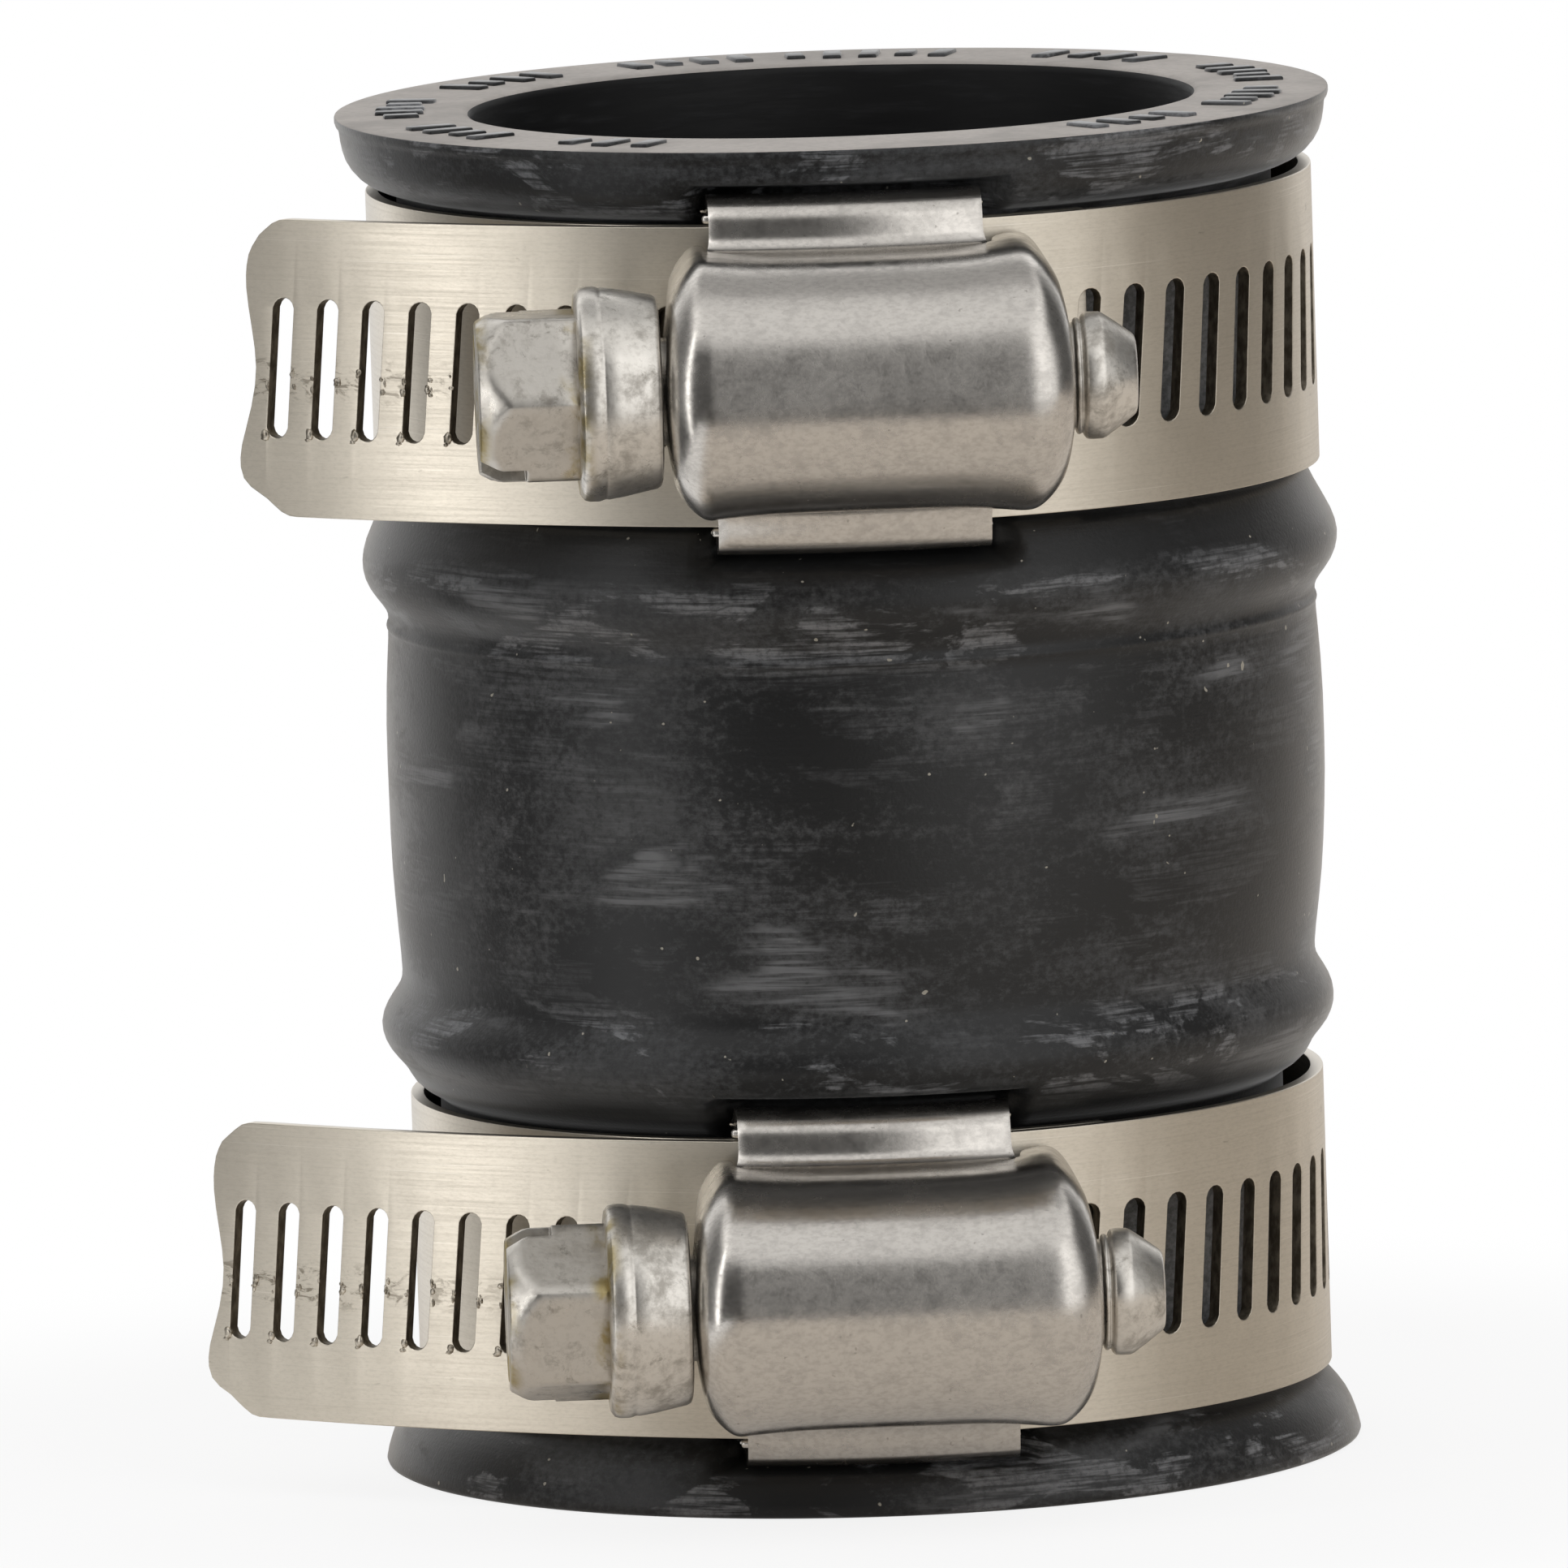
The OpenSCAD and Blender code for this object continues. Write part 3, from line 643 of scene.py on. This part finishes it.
def slotCell(bm, middle, left):
    # one pitch of strip with its slot
    half, high, row = band["pitch"] / 2, band["wide"] / 2, band["row"]
    turn = math.pi / band["slotSides"]
    hole = bmesh.ops.create_circle(bm, segments=band["slotSides"], radius=band["slotWide"] / 2,
                                   matrix=Matrix.Rotation(turn, 4, "Z"))["verts"]
    rim = vertsOf(bmesh.ops.extrude_edge_only(bm, edges=list({e for v in hole for e in v.link_edges}))["geom"])
    corner = [(1, row), (1, high), (0.5, high), (0.17, high)]
    corner += [(-x, z) for x, z in reversed(corner)]
    corner += [(-x, -z) for x, z in corner]
    for vert in rim:
        step = round((math.atan2(vert.co.y, vert.co.x) - turn) / (2 * turn)) % band["slotSides"]
        vert.co.x, vert.co.y = middle + max(corner[step][0], -left) * half, corner[step][1]
    reach = (band["slotLong"] - band["slotWide"]) / 2
    for vert in hole:
        vert.co.y += math.copysign(reach, vert.co.y)
        vert.co.x += middle + vert.co.y * band["lean"]


def plainStrip(bm, start, stop):
    count = max(1, round((stop - start) / band["plainStep"]))
    made = bmesh.ops.create_grid(bm, x_segments=count, y_segments=3, size=1.0)["verts"]
    for vert in made:
        vert.co.x = start + (stop - start) * (vert.co.x + 1) / 2
        vert.co.y = math.copysign(band["wide"] / 2 if abs(vert.co.y) > 0.9 else band["row"], vert.co.y)


def mapStrip(bm):
    # the flat strip is its own UV map
    flat = bm.loops.layers.uv.new("strip")
    for face in bm.faces:
        for loop in face.loops:
            loop[flat].uv = loop.vert.co.xy


def bendStrip(bm, clamp):
    for vert in bm.verts:
        spot, out = bandPath(clamp, vert.co.x)
        vert.co = spot + out * vert.co.z + Vector((0, 0, clamp["z"] + vert.co.y))


def buildBand(name):
    clamp = clamps[name]
    bm = bmesh.new()
    driveR, startR = loopRadii(clamp)
    last = -clamp["tail"] + band["tipPlain"] + band["slotWide"]
    first = math.ceil(last / band["pitch"] - clamp["phase"])
    slots = [(k + clamp["phase"]) * band["pitch"] for k in range(first, band["slotsRound"] + 1)]
    for middle in slots:
        slotCell(bm, middle, band["tipCell"] if middle == slots[0] else 1.0)
    stop = math.pi * driveR + math.radians(180 + band["startAngle"]) * startR
    plainStrip(bm, slots[-1] + band["pitch"] / 2, stop)
    # the tail's end, beyond its last slot, with its corners cut
    cut = band["end"][-1][0] + 0.1 - clamp["tail"]
    for vert in bm.verts:
        if abs(vert.co.y) > band["wide"] / 2 - 0.1 and vert.co.x < cut and vert.is_boundary:
            vert.co.y = math.copysign(tailHeight(clamp, vert.co.x), vert.co.y)
    edge = slots[0] - band["tipCell"] * band["pitch"] / 2
    room = edge + clamp["tail"] - 0.15
    tip = [(back - clamp["tail"], z) for back, z in band["waist"] + band["end"] if back < room]
    tip += [(edge, tailHeight(clamp, edge)), (edge, band["row"])]
    tip = [(x, -z) for x, z in reversed(tip[1:])] + tip
    tip = [(x + band["tipSlant"] * z * (edge - x) / (edge + clamp["tail"]), z) for x, z in tip]
    bm.faces.new([bm.verts.new((x, z, 0)) for x, z in tip])
    bmesh.ops.remove_doubles(bm, verts=bm.verts, dist=0.002)
    mapStrip(bm)
    bendStrip(bm, clamp)
    bmesh.ops.recalc_face_normals(bm, faces=bm.faces)
    # the outside of the strip faces away from the sleeve
    sample = max(bm.faces, key=lambda f: f.calc_center_median().x)
    if sample.normal.x < 0:
        bmesh.ops.reverse_faces(bm, faces=bm.faces)
    node = name + "_band"
    piece = makePiece(name + "Band", bm, [bandSteel, bandInsideShaded, bandEdgeSlotShade], node, node)
    wall = addWall(piece, band["thick"], 0.0)
    wall.material_offset, wall.material_offset_rim = 1, 2
    addEdgeRound(piece, band["edge"], 2, 50)
    addEvenShade(piece)
    buildBurrs(name, [s for s in slots if s < burr["until"]])


burr = {"size": 0.25, "flake": 0.13, "low": -3.55, "mid": -0.5, "until": -13.0, "rough": 0.22, "flat": 0.55, "seed": 5}


def buildBurrs(name, slots):
    # torn metal at the foot of the tail's slots, and flakes where the worm scraped between them
    clamp = clamps[name]
    pick = random.Random(burr["seed"] + len(name) + len(slots))
    bm = bmesh.new()
    face = band["thick"] / 2
    lumps = []
    for s in slots:
        foot = s + burr["low"] * band["lean"] - band["slotWide"] / 2
        lift = pick.uniform(-0.1, 0.1)
        lumps.append((foot - 0.06, burr["low"] + lift, burr["size"] * pick.uniform(0.75, 1.15), 1.0, 1.3))
        lumps.append((foot - 0.20, burr["low"] - 0.26, burr["size"] * pick.uniform(0.4, 0.7), 1.3, 0.8))
        for side, count in ((-1, 2), (1, 4)):
            for step in range(count):
                z = burr["mid"] + pick.uniform(-0.75, 0.45)
                at = s + z * band["lean"] + side * (band["slotWide"] / 2 + 0.02 + 0.07 * step + pick.uniform(0, 0.08))
                size = burr["flake"] * pick.uniform(0.6, 1.2)
                lumps.append((at, z, size, pick.uniform(0.6, 1.3), pick.uniform(0.8, 2.0)))
    for s, z, size, wide, tall in lumps:
        made = bmesh.ops.create_icosphere(bm, subdivisions=2, radius=size)["verts"]
        for vert in made:
            vert.co *= 1 + pick.uniform(-burr["rough"], burr["rough"])
            vert.co = Vector((s + vert.co.x * wide, z + vert.co.y * tall, face + vert.co.z * burr["flat"]))
    mapStrip(bm)
    bendStrip(bm, clamp)
    makePiece(name + "BandBurrs", bm, [tornMetal], name + "_band")


saddle = {"thick": 0.52, "half": 8.04, "wall": 0.35, "bend": 0.5, "from": -8.2, "to": 6.6, "edge": 0.2,
          "steps": 18}


def buildSaddle(name):
    clamp = clamps[name]
    bm = bmesh.new()
    seat, thick, half = clamp["seat"], saddle["thick"], saddle["half"]
    foot, side, top = seat + thick / 2, half + thick / 2, seat + layers["drive"] + saddle["wall"]
    bend = saddle["bend"]
    line = [(top, -side), (foot + bend, -side), (foot + 0.15, -side + 0.12), (foot, -side + bend), (foot, -half / 2)]
    line += [(foot, 0.0)] + [(r, -z) for r, z in reversed(line)]
    verts, edges = chain(bm, [(r, 0.0, z + clamp["z"]) for r, z in line])
    start, stop = math.asin(saddle["from"] / top), math.asin(saddle["to"] / top)
    bmesh.ops.rotate(bm, verts=verts, cent=(0, 0, 0), matrix=Matrix.Rotation(start - math.pi / 2, 3, "Z"))
    bmesh.ops.spin(bm, geom=verts + edges, cent=(0, 0, 0), axis=(0, 0, 1), dvec=(0, 0, 0), angle=stop - start,
                   steps=saddle["steps"])
    bmesh.ops.recalc_face_normals(bm, faces=bm.faces)
    piece = makePiece(name + "Saddle", bm, [housingSteel], "sleeve", name + "_saddle")
    addWall(piece, thick, 0.0)
    addEdgeRound(piece, saddle["edge"], 3, 50)


housing = {
    "long": 21.5,
    "dome": 6.7,
    "sheet": 0.9,
    "endRound": 2.2,
    "endBow": 0.85,
    "bulge": 0.28,
    "flare": 0.30,
    "neck": 2.95,
    "tabFrom": -7.85,
    "tabTo": 6.55,
    "legTop": 4.95,         # where the leg starts to turn into a tab, above the saddle
    "tabFlare": 0.42,
    "flareSteps": 5,
    "middle": -0.65,
    "shoulder": (6.2, 8.6),     # where the legs widen, away from that middle
    "legRows": (0.0, 0.35, 0.7),    # from the turn into a tab up to the screw's axis
    "footTuck": 0.1,
    "neckTurn": 88.0,
    "legBow": 0.03,
    "bowFrom": (7.5, 10.7),
    "columns": [-5.5, -2.5, 0.0, 2.5, 5.0],
    "tipColumn": 7.8,
    "endSteps": 6,
    # the tab's skin: height above the saddle's inside and distance from the middle
    "tab": [(4.46, 6.76), (4.10, 6.90), (3.84, 7.12), (3.64, 7.42), (3.52, 7.80), (3.42, 8.25), (3.26, 8.65),
            (2.96, 9.05), (2.50, 9.33), (1.92, 9.46), (1.10, 9.50), (0.20, 9.50), (-0.45, 9.40), (-0.85, 9.15),
            (-1.00, 8.75), (-1.02, 8.25)],
    "looseTail": 11.0,      # way of the tail at its loosest, in degrees
    "domeSteps": 20,
    "edge": 0.16,
}


def footHeight(clamp, x):
    # underside of a leg: over the driven band, and over the tail at its loosest
    way = clamp["way"]
    arc = math.sqrt(way * way - x * x)
    loose = math.radians(housing["looseTail"])
    plane = (way + math.sin(loose) * x) / math.cos(loose) if x < 0 else 0.0
    return layers["drive"] / 2 + max(arc, plane)


def buildHousing(name):
    clamp = clamps[name]
    bm = bmesh.new()
    axis = clamp["seat"] + layers["screw"]
    r, bend = housing["dome"], housing["endRound"]
    flat = housing["long"] / 2 - bend
    start, stop, flare = housing["tabFrom"], housing["tabTo"], housing["tabFlare"]
    columns = [(x, 0.0) for x in (start - flare, *housing["columns"], stop + flare, housing["tipColumn"])]
    for i in range(housing["endSteps"]):
        turn = math.radians(90 * i / (housing["endSteps"] - 1))
        columns.append((flat + bend * math.sin(turn), bend * (1 - math.cos(turn))))
        columns.insert(0, (-flat - bend * math.sin(turn), bend * (1 - math.cos(turn))))
    columns.append((flat + bend, r - housing["neck"]))
    columns.insert(0, (-flat - bend, r - housing["neck"]))
    leg = len(housing["legRows"]) + 1
    rows = 2 * leg + housing["domeSteps"] + 1

    def skin(column, row):
        x, inset = columns[column]
        last = column in (0, len(columns) - 1)
        side = 1 if row < rows / 2 else -1
        fromFoot = row if side > 0 else rows - 1 - row
        wide = r - inset
        shoulder = 0.0 if last else blend01(*housing["shoulder"], abs(x - housing["middle"]))
        if fromFoot < leg:
            foot = footHeight(clamp, x)
            turnUp = math.sqrt((clamp["seat"] + housing["legTop"]) ** 2 - x * x)
            h = turnUp + (axis - turnUp) * housing["legRows"][fromFoot - 1] if fromFoot else foot
            low = (axis - h) / (axis - foot)
            z = side * (wide + (housing["bulge"] + housing["flare"] * low) * shoulder)
            if last:
                down = math.radians(90 + housing["neckTurn"] * low)
                h, z = axis + wide * math.cos(down), side * wide * math.sin(down)
            z = z if fromFoot else z - side * housing["footTuck"] * shoulder
        else:
            turn = math.pi * (row - leg) / housing["domeSteps"]
            h, z = axis + wide * math.sin(turn), wide * math.cos(turn)
            z += housing["bulge"] * shoulder * math.cos(turn) * abs(math.cos(turn))
        bow = min(1.0, (z / r) ** 2 + max(0.0, axis - h) * housing["legBow"])
        bow *= housing["endBow"] * blend01(*housing["bowFrom"], abs(x))
        return Vector((x - math.copysign(bow, x), -h, z + clamp["z"]))

    verts, edges = chain(bm, [(0, 0, k) for k in range(rows)])
    grid = [verts]
    for column in range(1, len(columns)):
        edges = bmesh.ops.extrude_edge_only(bm, edges=edges)["geom"]
        grid.append(sorted(vertsOf(edges), key=lambda v: v.co.z))
        edges = edgesOf(edges)
    for column, line in enumerate(grid):
        for row, vert in enumerate(line):
            vert.co = skin(column, row)
    # the feet between the tabs' ends give way to the tabs
    inTab = [c for c, (x, inset) in enumerate(columns) if start - flare - 0.01 < x < stop + flare + 0.01]
    gone, turnLine = [], {1: [], -1: []}
    for a, b in zip(inTab, inTab[1:]):
        for side, low, high in ((1, 0, 1), (-1, rows - 1, rows - 2)):
            corner = {grid[a][low], grid[b][low], grid[a][high], grid[b][high]}
            gone += [f for f in grid[a][low].link_faces if set(f.verts) == corner]
            turnLine[side].append(bm.edges.get((grid[a][high], grid[b][high])))
    bmesh.ops.delete(bm, geom=gone, context="FACES")
    for side, edges in turnLine.items():
        for step, (rise, out) in enumerate(housing["tab"]):
            spread = flare * max(0.0, 1 - (step + 1) / housing["flareSteps"]) ** 2
            made = bmesh.ops.extrude_edge_only(bm, edges=edges)["geom"]
            edges = [e for e in edgesOf(made) if all(v in made for v in e.verts)]
            for vert in vertsOf(made):
                vert.co.x = min(max(vert.co.x, start - spread), stop + spread)
                reach = clamp["seat"] + rise
                vert.co.y = -math.sqrt(reach * reach - vert.co.x ** 2)
                vert.co.z = clamp["z"] + side * out
    bmesh.ops.remove_doubles(bm, verts=bm.verts, dist=0.001)
    bmesh.ops.recalc_face_normals(bm, faces=bm.faces)
    crown = min(bm.faces, key=lambda f: f.calc_center_median().y)
    if crown.normal.y > 0:
        bmesh.ops.reverse_faces(bm, faces=bm.faces)
    piece = makePiece(name + "Housing", bm, [housingSteel], "sleeve", name + "_housing")
    addSubdivision(piece, 2)
    addWall(piece, housing["sheet"], -1.0)
    addEdgeRound(piece, housing["edge"], 2, 60)


screw = {
    "hexFlats": 8.6,
    "hexFrom": -20.5,
    "hexTo": -15.1,
    "hexEnd": 4.0,
    "chamfer": 30.0,
    "corner": 28.3,         # the hex's corners are rounded off beyond this angle from a flat's middle
    "slotWide": 1.3,
    "slotDeep": 2.4,
    # place along the screw and radius, from the collar to the tip
    "turned": [(-15.3, 0.0), (-15.3, 4.75), (-15.24, 5.28), (-15.05, 5.56), (-14.75, 5.65), (-14.25, 5.65),
               (-14.05, 5.59), (-13.92, 5.53), (-13.75, 5.57), (-13.0, 5.46), (-11.9, 5.24), (-11.2, 5.1),
               (-10.98, 4.98), (-10.9, 4.72), (-10.9, 2.8), (-9.75, 2.8), (-9.7, 3.88), (-9.6, 3.9), (9.6, 3.9),
               (9.7, 3.88), (9.75, 2.8), (10.86, 2.8), (10.92, 3.02), (11.05, 3.1), (11.16, 3.02),
               (11.24, 2.98), (11.32, 3.18), (11.46, 3.33), (11.7, 3.35), (12.25, 3.34), (12.45, 3.26),
               (13.2, 2.74), (13.9, 2.22), (14.08, 2.05), (14.15, 1.8), (14.15, 0.0)],
    "steps": 96,
    "crest": 5.1,
    "root": 3.75,
    "crestWide": 0.5,
    "rootWide": 1.23,
    "wormHalf": 8.5,
    "wormSteps": 40,
    "edge": 0.12,
    # where the hex is cut into rings between its two ends
    "rings": [-16.4, -17.8, -18.75, -19.0, -19.3, -19.6, -19.9, -20.2, -20.38],
}


def hexRing(bm, x):
    # radius of the hex, cut by its end chamfer, at x
    flat = screw["hexFlats"] / 2
    cone = screw["hexEnd"] + (x - screw["hexFrom"]) * math.tan(math.radians(screw["chamfer"]))
    ring = bmesh.ops.create_circle(bm, segments=screw["steps"], radius=1.0)["verts"]
    for vert in ring:
        turn = math.atan2(vert.co.y, vert.co.x)
        into = (turn + math.pi / 6) % (math.pi / 3) - math.pi / 6
        into = math.pi / 6 - abs(into)
        r = min(flat / math.cos(into), cone, flat / math.cos(math.radians(screw["corner"])))
        vert.co = Vector((x, r * math.sin(turn), -r * math.cos(turn)))
    return ring


def cutSlot(bm):
    # driver slot across the hex's end, through two opposite corners
    half, floor = screw["slotWide"] / 2, screw["hexFrom"] + screw["slotDeep"]
    for spot, way in (((0, half, 0), (0, 1, 0)), ((0, -half, 0), (0, 1, 0)), ((floor, 0, 0), (1, 0, 0))):
        bmesh.ops.bisect_plane(bm, geom=bm.verts[:] + bm.edges[:] + bm.faces[:], dist=0.0005, plane_co=spot,
                               plane_no=way)
    gone = [f for f in bm.faces if abs(f.calc_center_median().y) < half and f.calc_center_median().x < floor]
    bmesh.ops.delete(bm, geom=gone, context="FACES")
    bmesh.ops.delete(bm, geom=[v for v in bm.verts if not v.link_faces], context="VERTS")
    ledge = [v for v in bm.verts if abs(v.co.x - floor) < 0.002 and abs(v.co.y) < half + 0.002]
    ledge.sort(key=lambda v: math.atan2(v.co.z, v.co.y))
    bm.faces.new(ledge)
    bmesh.ops.holes_fill(bm, edges=[e for e in bm.edges if e.is_boundary], sides=0)


def buildScrew(name):
    clamp = clamps[name]
    bm = bmesh.new()
    loops = [hexRing(bm, x) for x in [screw["hexTo"]] + screw["rings"] + [screw["hexFrom"]]]
    for a, b in zip(loops, loops[1:]):
        bmesh.ops.bridge_loops(bm, edges=list({e for v in a + b for e in v.link_edges if len(e.link_faces) < 2
                                               and all(w in a or w in b for w in e.verts)}))
    bm.faces.new(loops[-1])
    bm.faces.new(loops[0])
    cutSlot(bm)
    turned = Matrix.Rotation(math.radians(clamp["hexTurn"]), 3, "X")
    bmesh.ops.rotate(bm, verts=bm.verts, cent=(0, 0, 0), matrix=turned)
    verts, edges = chain(bm, [(x, 0.0, r) for x, r in screw["turned"]])
    bmesh.ops.spin(bm, geom=verts + edges, cent=(0, 0, 0), axis=(1, 0, 0), dvec=(0, 0, 0), angle=2 * math.pi,
                   steps=screw["steps"], use_merge=True)
    bmesh.ops.remove_doubles(bm, verts=bm.verts, dist=0.0005)
    # the worm's ridge has the slots' pitch, and where it meets the band it crosses a slot's middle
    half, turns = screw["wormHalf"], 2 * screw["wormHalf"] / band["pitch"]
    steps = round(turns * screw["wormSteps"])
    ridge = [(-screw["rootWide"] / 2, screw["root"]), (-screw["crestWide"] / 2, screw["crest"]),
             (screw["crestWide"] / 2, screw["crest"]), (screw["rootWide"] / 2, screw["root"])]
    lift = Matrix.Rotation(-2 * math.pi * (half / band["pitch"] + clamp["phase"]), 3, "X")
    verts, edges = chain(bm, [Vector((x - half, 0, 0)) + lift @ Vector((0, r, 0)) for x, r in ridge], closed=True)
    bm.faces.new(verts)
    made = bmesh.ops.spin(bm, geom=verts + edges, cent=(0, 0, 0), axis=(1, 0, 0), dvec=(2 * half / steps, 0, 0),
                          angle=2 * math.pi * turns, steps=steps)
    bm.faces.new(vertsOf(made["geom_last"]))
    bmesh.ops.recalc_face_normals(bm, faces=bm.faces)
    bmesh.ops.translate(bm, verts=bm.verts, vec=(0, -clamp["seat"] - layers["screw"], clamp["z"]))
    piece = makePiece(name + "Screw", bm, [screwZinc], name + "_screw", name + "_screw")
    addEdgeRound(piece, screw["edge"], 2, 28)


for name in clamps:
    buildBand(name)
    buildSaddle(name)
    buildHousing(name)
    buildScrew(name)
    print(name, "clamp made")


studio = {
    "floorSides": (-0.085, 0.38),
    "floorEnds": (-0.155, 2.6),
    "floor": (0.78, 0.675, 0.560),
    "floorSeen": (0.93, 0.93, 0.93),
    "floorWhite": 0.85,
    "floorShine": (1.0, 0.28),     # how white metal sees it, at its left end and under the object
    "shineFrom": (-0.050, -0.025),
    "shadowReach": (0.045, 0.084),
    # brightness of the room round the object, by degrees right of the camera
    "room": [(-180, 1.2), (-146, 1.3), (-128, 0.50), (-106, 0.20), (-84, 0.22), (-70, 0.32), (-66, 1.1), (-63, 3.45),
             (-58, 3.45), (-55, 1.3), (-52, 0.30), (-45, 0.12), (-27, 0.10), (3, 0.10), (12, 0.95), (18, 1.60),
             (30, 1.50), (58, 1.10), (70, 0.42), (84, 0.12), (124, 0.12), (140, 0.50), (151, 1.3), (180, 1.2)],
    "roomTop": 3.45,
    "roomFoot": 0.60,
    "roomFootFrom": (-0.40, -0.14),
    "ceiling": (0.74, 0.48),        # in front of the object and behind it
    "ceilingOver": (-0.30, 0.25),
    "ceilingFrom": (40.0, 56.0),    # degrees above the ground
    "ceilingSides": 0.60,
    "sidesFrom": (0.22, 0.60),
    "behindFrom": (0.82, 0.90),
    "behindTop": (0.40, 0.55),
    "softbox": {"at": (-0.12, -0.45, 1.15), "aim": (0, 0, 0.036), "size": (1.5, 1.2), "power": 1.3},
    "camera": {"aim": (-3.7 * mm, 0.0, 36.0 * mm), "turn": -2.5, "rise": 7.16, "away": 1.5, "lens": 642.0,
               "roll": 1.875, "sensor": 36.0, "clip": (0.05, 20.0)},
}


def buildFloor():
    bm = bmesh.new()
    bmesh.ops.create_grid(bm, x_segments=8, y_segments=8, size=1.0)
    (left, right), (front, back) = studio["floorSides"], studio["floorEnds"]
    for vert in bm.verts:
        vert.co.x = left + (right - left) * (vert.co.x + 1) / 2
        vert.co.y = front + (back - front) * (vert.co.y + 1) / 2
    material = bpy.data.materials.new("paleFloor")
    material.use_nodes = True
    tree = material.node_tree
    tree.nodes.clear()
    out = tree.nodes.new("ShaderNodeOutputMaterial")
    matt = tree.nodes.new("ShaderNodeBsdfDiffuse")
    white = tree.nodes.new("ShaderNodeEmission")
    rays = tree.nodes.new("ShaderNodeLightPath")
    mix = tree.nodes.new("ShaderNodeMixShader")
    shade = mixColour(tree, rays.outputs["Is Camera Ray"], studio["floor"], studio["floorSeen"])
    tree.links.new(shade, matt.inputs["Color"])
    where = tree.nodes.new("ShaderNodeTexCoord")
    shine = grade(tree, axesOf(tree, where.outputs["Object"])[0], *studio["shineFrom"], *studio["floorShine"])
    # plain white beyond the object's shadow
    away = tree.nodes.new("ShaderNodeVectorMath")
    away.operation = "LENGTH"
    tree.links.new(where.outputs["Object"], away.inputs[0])
    bare = grade(tree, away.outputs["Value"], *studio["shadowReach"], studio["floorWhite"], 1.0)
    share = larger(tree, times(tree, rays.outputs["Is Camera Ray"], bare), times(tree, seenInMetal(tree, rays), shine))
    tree.links.new(share, mix.inputs[0])
    tree.links.new(matt.outputs[0], mix.inputs[1])
    tree.links.new(white.outputs[0], mix.inputs[2])
    tree.links.new(mix.outputs[0], out.inputs["Surface"])
    floor = makeObject("floor", bm, [material])


def buildWorld():
    world = bpy.data.worlds.new("studio")
    bpy.context.scene.world = world
    world.use_nodes = True
    tree = world.node_tree
    back = tree.nodes["Background"]
    rays = tree.nodes.new("ShaderNodeLightPath")
    way = tree.nodes.new("ShaderNodeTexCoord")
    x, y, z = axesOf(tree, way.outputs["Generated"])
    # two tall softboxes beside the camera, a dark gap between them, white behind and above
    bearing = maths(tree, "ARCTAN2", x, times(tree, y, -1.0))
    stops = [(0.5 + turn / 360, (level / studio["roomTop"],) * 3) for turn, level in studio["room"]]
    wall = ramp(tree, plus(tree, maths(tree, "DIVIDE", bearing, 2 * math.pi), 0.5), stops)
    wall = times(tree, wall, studio["roomTop"])
    # darker towards the ground
    wall = times(tree, wall, grade(tree, z, *studio["roomFootFrom"], studio["roomFoot"], 1.0))
    up = grade(tree, z, *[math.sin(math.radians(rise)) for rise in studio["ceilingFrom"]])
    over = grade(tree, y, *studio["ceilingOver"], *studio["ceiling"])
    beside = grade(tree, maths(tree, "ABSOLUTE", x), *studio["sidesFrom"], 0.0, studio["ceilingSides"])
    level = mixValue(tree, up, wall, plus(tree, over, beside))
    # the camera sees white all round, and metal sees it behind the object
    behind = times(tree, grade(tree, y, *studio["behindFrom"]), grade(tree, z, *studio["behindTop"], 1.0, 0.0))
    white = larger(tree, rays.outputs["Is Camera Ray"], times(tree, seenInMetal(tree, rays), behind))
    feed(tree, back, {"Color": (1, 1, 1), "Strength": mixValue(tree, white, level, 1.0)})


def buildLight():
    box = studio["softbox"]
    light = bpy.data.lights.new("softbox", "AREA")
    light.shape = "RECTANGLE"
    light.size, light.size_y = box["size"]
    light.energy = box["power"]
    lamp = bpy.data.objects.new("softbox", light)
    lamp.location = box["at"]
    lamp.rotation_euler = (Vector(box["aim"]) - lamp.location).to_track_quat("-Z", "Y").to_euler()
    bpy.context.scene.collection.objects.link(lamp)


def buildCamera():
    view = studio["camera"]
    turn, rise = math.radians(view["turn"]), math.radians(view["rise"])
    aim = Vector(view["aim"])
    level = math.cos(rise)
    spot = aim + view["away"] * Vector((math.sin(turn) * level, -math.cos(turn) * level, math.sin(rise)))
    data = bpy.data.cameras.new("camera")
    data.lens = view["lens"]
    data.sensor_width = view["sensor"]
    data.clip_start, data.clip_end = view["clip"]
    camera = bpy.data.objects.new("camera", data)
    look = (aim - spot).to_track_quat("-Z", "Y").to_matrix().to_4x4()
    camera.matrix_world = Matrix.Translation(spot) @ look @ Matrix.Rotation(math.radians(-view["roll"]), 4, "Z")
    bpy.context.scene.collection.objects.link(camera)
    bpy.context.scene.camera = camera


buildFloor()
buildWorld()
buildLight()
buildCamera()
bpy.context.scene.view_settings.view_transform = "Standard"
print("stage ready")
